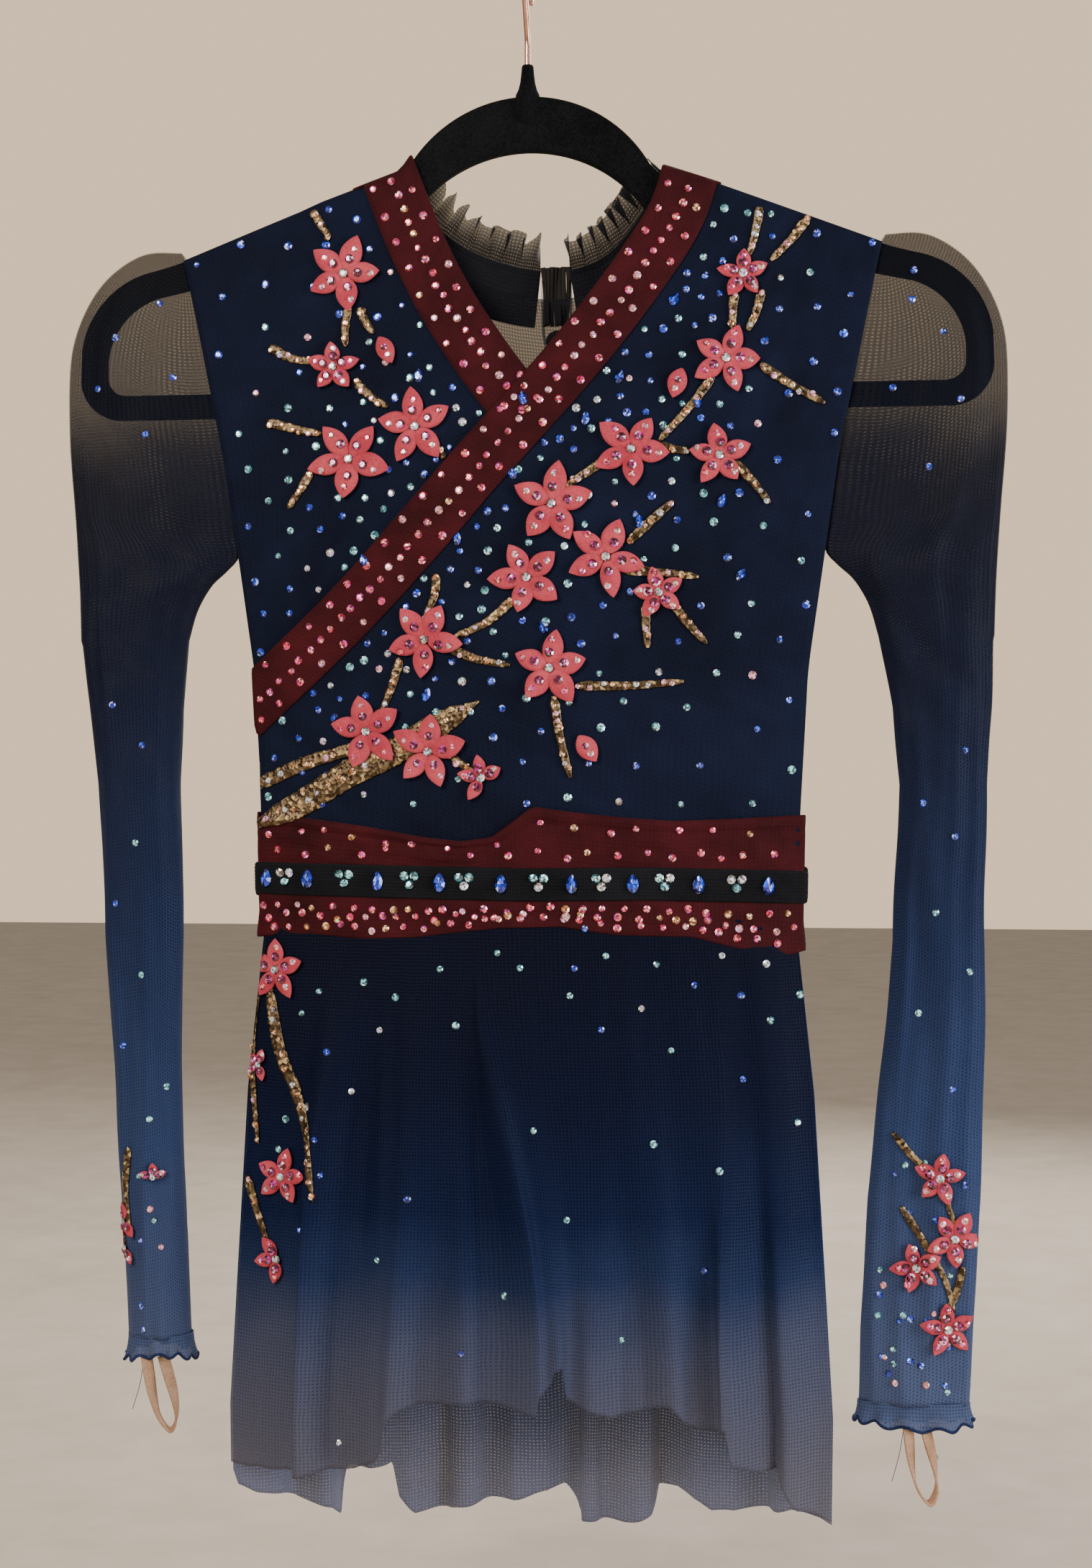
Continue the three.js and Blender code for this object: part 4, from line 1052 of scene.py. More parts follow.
def briefs():
    line = leg_line()
    sides = [(x, z) for x, z in line] + [(116.5, z) for z in np.linspace(-516, BRIEFS_TOP, 8)]
    for side, word in ((-1, "front"), (1, "back")):
        grid = []
        for x_edge, z in sides[::-1]:
            grid.append([briefs_point(side, x_edge * u, z, 0.3) for u in np.linspace(-1, 1, 50)])
        made = cloth_grid(f"briefs_{word}_panel", grid, NAVY, "dress",
                          outward=(0, -side * 100, -560))
        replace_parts(made, f"briefs_{word}")
    reach = 0.8 + BRIEFS_DEPTH
    grid = []
    for a in np.linspace(0, math.pi, 25):
        y, z = -reach * math.cos(a), CROTCH_Z - 6.5 * math.sin(a)
        across = np.linspace(-CROTCH_HALF, CROTCH_HALF, 20)
        grid.append([(x, y * (1 - 0.03 * (x / CROTCH_HALF) ** 2), z) for x in across])
    made = cloth_grid("briefs_gusset", grid, NAVY, "dress", outward=(0, 0, CROTCH_Z + 40))
    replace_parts(made, "crotch_gusset")
    for side, word in ((-1, "left"), (1, "right")):
        loop = [briefs_point(-1, side * x, z, 0.9) for x, z in line]
        back = [briefs_point(1, side * x, z, 0.9) for x, z in line]
        round_side = [(side * (BRIEFS_HALF - 5.6), y, LEG_Z + 4) for y in (-1.5, 0, 1.5)]
        under = [(side * CROTCH_HALF, -reach * math.cos(a), CROTCH_Z - 6.5 * math.sin(a))
                 for a in np.linspace(math.pi, 0, 12)][1:-1]
        ring = loop + round_side + back[::-1] + under
        tube(f"leg_elastic_{word}", smooth_line(ring, 160), 1.3, BLACK, "dress", sides=8)


briefs()


# ---- sleeves ----
CAP_INNER = [(171, -150.5), (169.5, -160), (166, -175), (160, -205), (151, -250), (145.5, -285),
             (144, -298),
             (150, -305.5), (158, -313), (165, -325), (169.5, -340)]
CAP_OUTER = [(173, -147.6), (188, -147.2), (199, -151), (211, -160), (220, -172), (227, -188), (230, -206),
             (230, -240), (227, -280), (225, -312), (224, -340)]
# (height, centre, half width, half depth) of each sleeve below its cap
SLEEVE = {"left": [(-340, 196.5, 27, 9.5), (-374, 196, 23.5, 10.3), (-411, 194, 20.5, 11),
                   (-486, 192, 19.5, 11), (-550, 190, 16.5, 11.5),
                   (-629, 187, 15.5, 12), (-684, 183.5, 15.5, 12)],
          "right": [(-340, 196.5, 27, 9.4), (-374, 199.3, 23.3, 9.3), (-411, 200, 20.5, 9),
                    (-486, 198, 21.5, 8), (-552, 194.5, 24.5, 7.5),
                    (-609, 191, 26.5, 7), (-672, 187.5, 26.5, 7), (-708, 186, 26, 7)]}
CUFF = {"left": -684.0, "right": -707.0}


def sleeve_row(word, t):
    """Inner and outer edge, half depth and how much of a cap the row still is; t runs from 0 at
    the shoulder."""
    side = -1 if word == "left" else 1
    cap_share = 0.34
    if t < cap_share:
        f = t / cap_share
        a, b = INNER_EDGE(f), OUTER_EDGE(f)
        return a, b, min(9.4, 1.2 + 8.2 * ease(f * 3)), 1 - ease((-290 - a[1]) / 26), side
    f = (t - cap_share) / (1 - cap_share)
    z = -340 + (CUFF[word] + 340) * f
    table = [list(r) for r in zip(*SLEEVE[word])]
    centre, half, depth = (float(np.interp(-z, [-v for v in table[0]], table[k])) for k in (1, 2, 3))
    return (centre - half, z), (centre + half, z), depth, 0.0, side


def edge_reader(points):
    fine = smooth_line(points, 120)
    return lambda f: (float(np.interp(f, np.linspace(0, 1, 120), fine[:, 0])),
                      float(np.interp(f, np.linspace(0, 1, 120), fine[:, 1])))


INNER_EDGE, OUTER_EDGE = edge_reader(CAP_INNER), edge_reader(CAP_OUTER)


def sleeve_point(word, t, u):
    """A point of the sleeve; u runs from the front armhole (0) round the outside to the back one (1)."""
    (ax, az), (bx, bz), depth, cap, side = sleeve_row(word, t)
    turn = u * math.pi
    front = -1 if u < 0.5 else 1
    s, c = math.sin(turn), abs(math.cos(turn))
    seam = stand_off(171 if az > -152 else half_width(az), az) + 0.1
    cap_y = c * (seam + max(0.0, depth - seam) * s)
    cap_x, cap_z = ax + (bx - ax) * s, az + (bz - az) * s
    mid, half = (ax + bx) / 2, (bx - ax) / 2
    share = 0.5 - 0.5 * math.cos(2 * turn)
    tube_x, tube_y = mid - half * math.cos(2 * turn), depth * abs(math.sin(2 * turn))
    tube_z = az + (bz - az) * share
    x, y = cap * cap_x + (1 - cap) * tube_x, cap * cap_y + (1 - cap) * tube_y
    z = cap * cap_z + (1 - cap) * tube_z
    fine = noise.noise(Vector((u * 15, z / 60, 9.0 + side)))
    along_it = noise.noise(Vector((u * 7.0, z / 95, 3.0 * side))) + 0.7 * fine
    slant = noise.noise(Vector(((x + z) / 22, (x - z) / 75, 2.0 * side)))
    near_arm = math.exp(-((az + 318) / 42) ** 2)
    long_fold = 1.0 - 2.2 * abs(noise.noise(Vector((u * 9.0 + 0.4 * side, z / 210, 5.0))))
    crease = 1.5 * along_it + 1.3 * long_fold + (0.7 + 2.2 * near_arm) * slant
    crease *= min(1.0, c * s * 4 + 0.15)
    crease *= ease(t / 0.06) * (1 if cap < 0.5 else min(1.0, s * 3))
    y = max(0.05, y + crease * (0.8 if cap > 0.5 else 1.0))
    bow = 1.0 * noise.noise(Vector((z / 55, 4.0 * side, 1.0))) * ease((-330 - z) / 60)
    return (side * (x + bow), front * y, z)


def sleeve(word, rows=210, columns=97):
    grid, drop = [], []
    for t in np.linspace(0, 1, rows):
        grid.append([sleeve_point(word, t, u) for u in np.linspace(0, 1, columns)])
        drop.append([min(1.0, max(0.0, (-150 - p[2]) / 560.0)) for p in grid[-1]])
    side = -1 if word == "left" else 1
    made = cloth_grid(f"sleeve_skin_{word}", grid, SLEEVE_NET, None, thick=0.4,
                      outward=(side * 195, 0, -420), drop=drop)
    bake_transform(made)
    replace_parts(made, f"sleeve_cap_{word}", f"sleeve_{word}")
    return made


def cuff(word):
    """The overlocked edge of the sleeve: it flares a little, ripples, and ends in a rolled thread."""
    side = -1 if word == "left" else 1
    (ax, az), (bx, _), depth, _, _ = sleeve_row(word, 1.0)
    mid, half = (ax + bx) / 2, (bx - ax) / 2
    columns, rows = 150, 12
    grid, drop = [], []
    for j in range(rows):
        t = j / (rows - 1)
        ring = []
        for k in range(columns):
            a = 2 * math.pi * k / columns
            ripple = 1.5 * math.sin(11 * a + 1.1 * math.sin(3 * a)) * t ** 1.4
            flare = 0.5 + 1.6 * t ** 2 + 0.5 * ripple
            lift = 1.2 * math.cos(11 * a) * t ** 2 + 1.6 * math.sin(2 * a + side) * t
            ring.append((side * (mid + (half + flare) * math.cos(a)),
                         (depth + flare + 0.5 * ripple) * math.sin(a),
                         az + 1.0 - 10.5 * t + lift))
        grid.append(ring)
        drop.append([0.93 + 0.07 * t] * columns)
    made = cloth_grid(f"cuff_frill_{word}", grid, SLEEVE_NET, f"sleeve_{word}", thick=0.5,
                      outward=(side * mid, 0, az), ring=True, drop=drop)
    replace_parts(made, f"cuff_hem_{word}")
    edge = tube(f"cuff_rolled_edge_{word}", grid[-1], 0.75, THREAD, f"sleeve_{word}", sides=8,
                closed=True)
    return made, edge


def finger_loop(word):
    """Flat woven elastic folded into a stirrup, with a few loose thread ends."""
    top_x, top_z, y = (-183.5, -693.7, -9.8) if word == "left" else (187.5, -717.7, -6.4)
    lean = 8.0 if word == "left" else 6.0
    outline = [(-4.2, 1), (-5.0, -9), (-5.4, -19), (-4.6, -29), (-0.4, -35.5), (4.2, -29), (5.2, -19),
               (4.6, -9), (3.8, 1)]
    line = smooth_line([(top_x + x + lean * (-z / 36), z + top_z) for x, z in outline], 90)
    grid = []
    for i, (x, z) in enumerate(line):
        t = i / 89
        turn = math.radians(58 - 75 * math.sin(math.pi * t) ** 2) * (1 if t < 0.5 else -1)
        wide = 3.0
        grid.append([(x + k * wide * math.sin(turn) * (0.9 if t < 0.5 else -0.9),
                      y + k * wide * abs(math.cos(turn))
                      + 1.4 * (t - 0.5), z + 0.3 * k) for k in np.linspace(-1, 1, 11)])
    made = cloth_grid(f"stirrup_loop_{word}", grid, TAN, f"loop_{word}", thick=1.1,
                      outward=(top_x + lean / 2, y, top_z - 18))
    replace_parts(made, f"finger_loop_{word}")
    tails = []
    for k, (dx, drop_z, sway) in enumerate([(-6, 26, -6), (-4, 19, 3), (5, 15, 5)]):
        path = [(top_x + dx, y + 1.5 + k, top_z + 2),
                (top_x + dx + sway * 0.4, y + 2 + k, top_z - drop_z * 0.5),
                (top_x + dx + sway, y + 1 + k, top_z - drop_z)]
        tails.append(tube(f"tail_{word}_{k}", smooth_line(path, 18), 0.16, THREAD, f"sleeve_{word}",
                          sides=5))
    join_as(f"loose_threads_{word}", tails)
    return made


for word in ("left", "right"):
    sleeve(word)
    cuff(word)
    finger_loop(word)


# ---- felt blossoms and glitter branches ----
def surface(objects):
    """A reader that finds where a line from the front meets these pieces: a point and the way it faces."""
    points, faces = [], []
    for part in objects:
        start = len(points)
        points += [v.co.copy() for v in part.data.vertices]
        faces += [[start + i for i in f.vertices] for f in part.data.polygons]
    tree = BVHTree.FromPolygons(points, faces)

    def read(x, z, lift=0.0, side=-1):
        place, normal, _, _ = tree.ray_cast(Vector((x * MM, side * 0.5, z * MM)), Vector((0, -side, 0)))
        if place is None:
            return None, None
        if normal.y * side < 0:
            normal = -normal
        return Vector((place.x, place.y + side * lift * MM, place.z)), normal
    return read


FRONT = surface([PIECES[n] for n in ("bodice_over_panel", "bodice_under_panel", "neck_band_top_layer",
                                     "neck_band_lower_layer", "sash_top_band", "sash_bottom_band",
                                     "sash_black_band", "skirt_front_layer")])
SLEEVE_FACE = {word: surface([PIECES[f"sleeve_skin_{word}"]]) for word in ("left", "right")}
FELT_THICK = 0.8


def held_at(reader, x, z, lift):
    """The point on the cloth at x, z, or the nearest one further in where x, z is past the cloth's edge."""
    for step in range(60):
        inward = x * (1 - step / 90)
        place, _ = reader(inward, z, lift)
        if place is not None:
            return place
    return Vector((x * MM, -0.012, z * MM))


def petal_width(s):
    return 3.3 * (s + 0.02) ** 0.85 * (1 - s) ** 0.95


def petals_mesh(name, petals, reader, body, base=0.5):
    """Pointed felt petals, each given as (x, z, direction, length, width): domed, with the tip lifted."""
    rows, columns = 12, 9
    points, faces, marks = [], [], []
    for number, (x, z, turn, length, width) in enumerate(petals):
        ahead = Vector((math.cos(turn), math.sin(turn)))
        across = Vector((-ahead.y, ahead.x))
        tilt = 0.5 * math.sin(number * 2.4)
        start = len(points)
        for face_side in (1, 0):
            for j in range(rows):
                s = j / (rows - 1)
                for i in range(columns):
                    w = 2 * i / (columns - 1) - 1
                    hook = 0.05 * length * s ** 3 * math.sin(number * 1.7)
                    spot = Vector((x,
                                   z)) + ahead * length * s + across * (w * petal_width(s) * width / 2 + hook)
                    dome = 0.85 * (1 - w * w) * math.sin(math.pi * min(1, s + 0.05)) + 0.9 * s ** 3
                    curl = (0.25 + 0.15 * math.sin(number)) * w * tilt * math.sin(math.pi * s) * 2
                    lift = base + dome + curl + FELT_THICK * face_side + 0.35
                    points.append(held_at(reader, spot.x, spot.y, lift))
                    marks.append(max(abs(w), s * s))
        half = rows * columns
        for j in range(rows - 1):
            for i in range(columns - 1):
                a = start + j * columns + i
                faces.append((a, a + 1, a + columns + 1, a + columns))
                faces.append((a + half + columns, a + half + columns + 1, a + half + 1, a + half))
        rim = ([j * columns for j in range(rows)] + [(rows - 1) * columns + i for i in range(1, columns)]
               + [j * columns + columns - 1 for j in range(rows - 2, -1, -1)] 
           + list(range(columns - 2, 0, -1)))
        for a, b in zip(rim, rim[1:] + rim[:1]):
            faces.append((start + b, start + a, start + a + half, start + b + half))
    made = new_object(name, points, faces, FELT, body)
    mark = made.data.attributes.new("drop", "FLOAT", "POINT")
    mark.data.foreach_set("value", marks)
    clean(made)
    return made


def flower(x, z, radius, turn, count=5, rng=None):
    """Petal rows for one blossom; each petal differs a little in length, width and direction."""
    found = []
    for k in range(count):
        a = math.radians(turn + k * 72 + rng.uniform(-7, 7))
        start = radius * 0.07
        found.append((x + start * math.cos(a), z + start * math.sin(a), a, radius * rng.uniform(0.86, 1.0),
                      radius * rng.uniform(0.52, 0.62)))
    return found


BLOSSOMS = {"shoulder_left": (-90, -161, 18.5, 70), "chest_left": (-95, -207, 13, 20),
            "heart": (-53, -238, 19, 98),
            "side_left": (-86, -253, 20, 52), "shoulder_right": (105, -166, 12.5, 90),
            "upper_right": (97, -207, 17.5, 70), "mid_right": (52, -251, 18.5, 60),
            "right": (94, -254, 15.5, 20),
            "centre_upper": (14, -277, 20, 85), "centre_lower": (2, -312, 18.5, 40),
            "centre_right": (40, -302.5, 19, 62), "small_right": (65, -319.5, 13, 30),
            "lower_mid": (-48, -341.5, 18.5, 58), "lower_right": (13, -355.5, 19, 86),
            "waist_left": (-77, -385.5, 19, 100), "waist_mid": (-46, -395.5, 18.5, 80),
            "skirt_upper": (-124, -502, 15, 90), "skirt_lower": (-120, -603, 14, 80)}
EXTRA_FLOWERS = [(-20, -408, 11.5, 30, 4), (-133, -549, 8, 70, 4), (-122, -643, 12, 120, 3)]
SINGLE_PETALS = [(-72, -193, -62, 15, 9), (76, -212, -110, 15, 9.5), (27, -388, -55, 15, 10)]
CUFF_FLOWERS = {"right": [(198, -598, 12.5, 80, 5), (205, -627, 14, 60, 5), (187, -641, 12.5, 30, 5),
                          (202, -670, 13, 95, 5)],
                "left": [(-200, -627, 9, 100, 4), (-184, -604, 7, 20, 3), (-199, -640, 8, 150, 3)]}

# branch lines: (x, z, half width)
CAD_BRANCHES = {"waist": [(-134, -431, 4.2), (-112, -421, 6.2), (-88, -407, 6.6), (-66, -397, 6.6),
                          (-40, -382, 6.2),
                          (-21, -371, 1.2)],
                "side": [(-135, -412, 3.2), (-112, -402, 3.4), (-92, -396, 3.0), (-72, -391, 2.4)],
                "right": [(51, -295, 2.0), (62, -285, 2.2), (72, -276, 1.6)],
                "lower_right": [(66, -317, 1.8), (78, -333, 2.0), (88, -344, 1.4)],
                "skirt": [(-128, -508, 2.6), (-122, -540, 3.2), (-113, -560, 3.0), (-107, -578, 2.4),
                          (-104, -595, 1.8),
                          (-101, -613, 0.9)]}
TWIGS = [[(-106, -129), (-102, -136), (-97, -143)], [(-88, -178), (-89, -187), (-89, -197)],
         [(-82, -178), (-79, -185), (-75, -191)], [(-127, -196), (-116, -202), (-104, -204)],
         [(-84, -214), (-76, -222), (-67, -228)], [(-128, -233), (-114, -237), (-100, -240)],
         [(-105, -258), (-110, -266), (-117, -276)], [(-44, -246), (-41, -250), (-38, -254)],
         [(113, -134), (111, -145), (108, -157)], [(136, -140), (127, -151), (118, -160)],
         [(101, -175), (100, -184), (100, -193)], [(114, -174), (111, -185), (107, -194)],
         [(91, -215), (80, -230), (65, -247)], [(113, -210), (128, -220), (144, -229)],
         [(65, -249), (72, -251), (80, -252)], [(41, -255), (31, -262), (20, -269)],
         [(101, -257), (110, -267), (118, -277)], [(48, -309), (66, -310), (84, -312)],
         [(59, -325), (59, -335), (60, -346)], [(-4, -322), (-17, -333), (-33, -340)],
         [(-42, -310), (-43, -320), (-48, -332)], [(-37, -345), (-22, -351), (-6, -354)],
         [(-60, -350), (-64, -363), (-70, -378)], [(25, -364), (50, -364), (77, -362)],
         [(15, -369), (18, -388), (23, -408)], [(-45, -385), (-34, -398), (-23, -406)]]
SKIRT_TWIGS = [[(-137, -516), (-137, -538), (-136, -560), (-133, -588)],
               [(-139, -604), (-134, -619), (-127, -637)]]
CUFF_TWIGS = {"right": [[(176, -577), (187, -590), (197, -598), (203, -614), (208, -628)],
                        [(180, -612), (190, -628), (200, -645), (205, -662)],
                        [(209, -640), (205, -655), (197, -668)]],
              "left": [[(-197, -590), (-199, -610), (-197, -632)]]}


def branch_ribbon(name, line, reader, body, replaced=None):
    """A ribbon of foil cloth cut by hand: ragged edges, a slight crown, tapering ends."""
    fine = smooth_line(line, max(14, int(10 * len(line))))
    run = fine[:, :2]
    ahead = np.gradient(run, axis=0)
    ahead /= np.linalg.norm(ahead, axis=1)[:, None]
    points, faces = [], []
    columns = 7
    for face_side in (1, 0):
        for i, (x, z, w) in enumerate(fine):
            t = i / (len(fine) - 1)
            ragged = [1 + 0.16 * noise.noise(Vector((x / 2.3, z / 2.3, 40.0 * s))) for s in (-1, 1)]
            end = min(1.0, 0.45 + 6 * t, 0.45 + 6 * (1 - t))
            for k in range(columns):
                u = 2 * k / (columns - 1) - 1
                reach = w * u * end * ragged[0 if u < 0 else 1]
                px, pz = x - ahead[i][1] * reach, z + ahead[i][0] * reach
                lift = 0.25 + 0.3 * (1 - u * u) + 0.55 * face_side
                points.append(held_at(reader, px, pz, lift))
    n = len(fine)
    half = n * columns
    for i in range(n - 1):
        for k in range(columns - 1):
            a = i * columns + k
            faces.append((a, a + 1, a + columns + 1, a + columns))
            faces.append((a + half + columns, a + half + columns + 1, a + half + 1, a + half))
    rim = ([i * columns for i in range(n)] + [(n - 1) * columns + k for k in range(1, columns)]
           + [i * columns + columns - 1 for i in range(n - 2, -1, -1)] + list(range(columns - 2, 0, -1)))
    for a, b in zip(rim, rim[1:] + rim[:1]):
        faces.append((b, a, a + half, b + half))
    made = new_object(name, points, faces, BARK, body)
    clean(made)
    if replaced:
        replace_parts(made, replaced)
    return made


# ---- stones ----
TINTS = {"sapphire": [(0.002, 0.006, 0.07), (0.004, 0.016, 0.22), (0.008, 0.04, 0.5), (0.06, 0.18, 0.95)],
         "aqua": [(0.02, 0.06, 0.08), (0.05, 0.2, 0.24), (0.14, 0.42, 0.4), (0.5, 0.85, 0.85)],
         "clear": [(0.14, 0.11, 0.09), (0.36, 0.3, 0.24), (0.65, 0.58, 0.46), (0.6, 0.45, 0.7),
                   (0.5, 0.7, 0.75)],
         "rose": [(0.16, 0.004, 0.018), (0.42, 0.012, 0.07), (0.7, 0.05, 0.12), (0.6, 0.07, 0.42),
                  (0.9, 0.3, 0.22)],
         "amber": [(0.12, 0.035, 0.01), (0.34, 0.12, 0.03), (0.62, 0.27, 0.09), (0.85, 0.6, 0.34)],
         "crimson": [(0.035, 0.001, 0.007), (0.12, 0.003, 0.022), (0.25, 0.007, 0.06), (0.5, 0.05, 0.3)],
         "blush": [(0.3, 0.1, 0.1), (0.6, 0.26, 0.22), (0.8, 0.5, 0.42), (0.7, 0.35, 0.6)]}
# painted highlight: a near-white colour given to a few facets as glints
PAINTED_GLINT = (1.0, 0.98, 0.95)
STONES = {}
CRYSTAL = crystal_material("cut crystal")


def stone(reader, x, z, size, tint, body, rng, shape="round", lift=0.0, spin=None):
    """Adds one faceted stone at x, z: a flat table, a ring of slanted facets and a short side wall."""
    place, normal = reader(x, z, lift)
    if place is None:
        return
    tilt = Vector((rng.uniform(-0.1, 0.1), 0, rng.uniform(-0.1, 0.1)))
    facing = (normal + tilt).normalized()
    right = facing.cross(Vector((0, 0, 1)))
    right = right.normalized() if right.length > 0.05 else Vector((1, 0, 0))
    up = right.cross(facing).normalized()
    if up.z < 0:
        up, right = -up, -right
    turn = rng.uniform(0, 0.8) if shape == "round" else (spin or 0.0)
    radius = size / 2
    sides = 8 if shape == "round" else 12
    rings = [(1.0, 0.0), (1.0, 0.16), (0.58, 0.42)]
    points, faces = STONES.setdefault((body, tint), ([], [], []))[:2]
    colours = STONES[(body, tint)][2]
    start = len(points)
    for scale, height in rings:
        for k in range(sides):
            a = turn + 2 * math.pi * k / sides
            if shape == "round":
                u, v = math.cos(a), math.sin(a)
            else:
                b = 2 * math.pi * k / sides
                taper = 1.0 - 0.42 * max(0.0, math.sin(b)) ** 1.2
                u, v = 0.62 * math.cos(b) * taper, 1.0 * math.sin(b) + 0.06
                u, v = u * math.cos(turn) - v * math.sin(turn), u * math.sin(turn) + v * math.cos(turn)
            points.append(place + (right * u * scale + up * v * scale) * radius * MM
                          + facing * height * size * 0.55 * MM)
    table = TINTS[tint]
    for j in range(len(rings) - 1):
        for k in range(sides):
            m = (k + 1) % sides
            faces.append((start + j * sides + k, start + j * sides + m, start + (j + 1) * sides + m,
                          start + (j + 1) * sides + k))
            colours.append(facet_colour_with_painted_sparkle(table, rng))
    top = start + 2 * sides
    centre = len(points)
    points.append(place + facing * 0.43 * size * 0.55 * MM)
    for k in range(sides):
        faces.append((top + k, top + (k + 1) % sides, centre))
        # the table facets get a larger share of painted highlight: more glints and lighter colours
        colours.append(facet_colour_with_painted_sparkle(table, rng, 0.4))
    faces.append(tuple(start + k for k in reversed(range(sides))))
    colours.append(table[0])


def facet_colour_with_painted_sparkle(table, rng, painted_highlight_share=0.0):
    # painted sparkle: each facet is made lighter or darker at random, and a few get the near-white painted
    # glint
    if rng.random() < 0.07 + painted_highlight_share * 0.2:
        return tuple(0.5 * g + 0.5 * c for g, c in zip(PAINTED_GLINT, table[-1]))
    pick = table[min(len(table) - 1, int((rng.random() ** (1.2 - painted_highlight_share)) * len(table)))]
    shade = rng.uniform(0.6, 1.25)
    return tuple(min(1.0, c * shade) for c in pick)


def make_stones():
    for (body, tint), (points, faces, colours) in STONES.items():
        made = new_object(f"stones_{tint}_{body}", points, faces, CRYSTAL, body, smooth=False)
        layer = made.data.color_attributes.new("facet", "FLOAT_COLOR", "CORNER")
        values = []
        for polygon, colour in zip(made.data.polygons, colours):
            values += [(*colour, 1.0)] * polygon.loop_total
        layer.data.foreach_set("color", np.array(values, float).ravel())


def near_any(x, z, spots, reach):
    return any((x - s[0]) ** 2 + (z - s[1]) ** 2 < (reach + s[2]) ** 2 for s in spots)


def scatter(rng, count, inside, spacing, taken):
    """Spots thrown at random that keep their spacing from each other."""
    found = []
    for _ in range(count):
        x, z = rng.uniform(-172, 172), rng.uniform(-445, -112)
        gap = spacing(x, z)
        if not inside(x, z):
            continue
        if all((x - a) ** 2 + (z - b) ** 2 > max(gap, c) ** 2 * 0.8 for a, b, c in found) and not any(
                (x - a) ** 2 + (z - b) ** 2 < 16 for a, b in taken):
            found.append((x, z, gap))
    return found


def distance_to(line, x, z):
    return float(np.min(np.hypot(line[:, 0] - x, line[:, 1] - z)))


OVER_MIDDLE, UNDER_MIDDLE = smooth_line(OVER_LINE, 200), smooth_line(UNDER_LINE, 120)


def pick(rng, weights):
    total = rng.random() * sum(w for _, w in weights)
    for name, w in weights:
        total -= w
        if total <= 0:
            return name
    return weights[-1][0]


def bodice_stones(rng):
    """Blue and green stones over the bodice: close together by the band and the blossoms, sparse
    at the sides."""
    petals = [(x, z, r * 0.78) for x, z, r, _ in BLOSSOMS.values()] + [(-20, -408, 8)]
    twigs = [tuple(p[:2]) for line in TWIGS + list(CAD_BRANCHES.values()) for p in smooth_line(
        [q[:2] for q in line], 10)]

    def inside(x, z):
        if abs(x) > half_width(z) - 4 or z > shoulder_line(x) - 5 or z < -421:
            return False
        if near_any(x, z, petals, 2.0):
            return False
        if distance_to(OVER_MIDDLE, x, z) < HALF_BAND + 2.5:
            return False
        in_neck = -70 < x < 62 and z > -235 and distance_to(UNDER_MIDDLE, x, z) > HALF_BAND
        left_of_under = x < float(np.interp(-z, -UNDER_MIDDLE[:, 1], UNDER_MIDDLE[:, 0]))
        right_of_over = x > float(np.interp(-z, -OVER_MIDDLE[:, 1], OVER_MIDDLE[:, 0]))
        if z > -246 and not right_of_over and (distance_to(UNDER_MIDDLE, x,
                                                           z) < HALF_BAND + 2.5 or not left_of_under):
            return False
        return not (in_neck and not left_of_under and not right_of_over)

    def spacing(x, z):
        band = distance_to(OVER_MIDDLE, x, z)
        flower_gap = min(math.hypot(x - s[0], z - s[1]) for s in petals)
        close = 7.6 + 0.075 * max(0.0, min(band - 14, 110)) + 0.05 * max(0.0, flower_gap - 22)
        sides = 3.5 * ease((abs(x) - 95) / 45)
        return close + sides + 3.0 * ease((-360 - z) / 60)

    spots = scatter(rng, 9000, inside, spacing, twigs)
    for x, z, _ in spots:
        tint = pick(rng, [("sapphire", 46), ("aqua", 30), ("clear", 9), ("blush", 4)])
        stone(FRONT, x, z, rng.choice([3.1, 3.6, 3.6, 4.2]), tint, "dress", rng)
    for k, (x, z) in enumerate([(-78, -303), (0, -226), (30, -236), (46, -216), (72, -178), (-5, -262),
                                (83, -228),
                                (-32, -293), (-47, -368), (104, -311), (10, -336), (56, -286), (-52, -213),
                                (95, -276)]):
        stone(FRONT, x, z, 6.6, "sapphire", "dress", rng, "drop", spin=-0.4 + 0.25 * (k % 5))


def band_stones(rng):
    """Rose stones in loose staggered rows along both neck bands, and over the sash."""
    for line, last in ((OVER_LINE, 1.0), (UNDER_LINE, 0.93)):
        middle = smooth_line(line, 400)
        run = np.concatenate([[0], np.cumsum(np.hypot(*np.diff(middle, axis=0).T))])
        at, k = 6.0, 0
        while at < run[-1] * last - 3:
            i = int(np.searchsorted(run, at))
            for offset in ((-9.2, 0.6), (0.4, 9.0))[k % 2]:
                shift = offset + rng.uniform(-1.2, 1.2)
                x, z = beside(middle, shift)[min(i, 399)]
                if z < shoulder_line(x) - 2 and abs(x) < half_width(z) - 1:
                    stone(FRONT, x, z, rng.choice([3.4, 3.9, 4.1]),
                          pick(rng, [("rose", 80), ("blush", 14), ("amber", 6)]),
                          "dress", rng)
            at += 7.0 + rng.uniform(-0.8, 0.8)
            k += 1
    for row, (z0, gap, edge) in enumerate([(-433, 15, dip), (-444, 13, cord_sway)]):
        x = -128 + 5 * row
        while x < 122:
            z = z0 + 0.8 * edge(x, -1) + rng.uniform(-2.5, 2.5)
            if row == 0 or z0 + dip(x, -1) > z0 - 8:
                stone(FRONT, x, z, rng.choice([3.2, 3.8]), pick(rng, [("rose", 75), ("amber", 25)]),
                      "dress", rng)
            x += gap * rng.uniform(0.7, 1.4)
    for row, z0 in enumerate((-471.5, -477, -482)):
        x = -131 + 3 * row
        while x < 132:
            t = (row + 0.5) / 3
            z = z0 + (1 - t) * cord_sway(x, -1) + t * low_edge(x, -1) + rng.uniform(-1.4, 1.4)
            stone(FRONT, x, z, rng.choice([3.2, 3.6, 4.0]),
                  pick(rng, [("rose", 55), ("amber", 30), ("blush", 15)]),
                  "dress", rng)
            x += rng.uniform(6.5, 11.5)


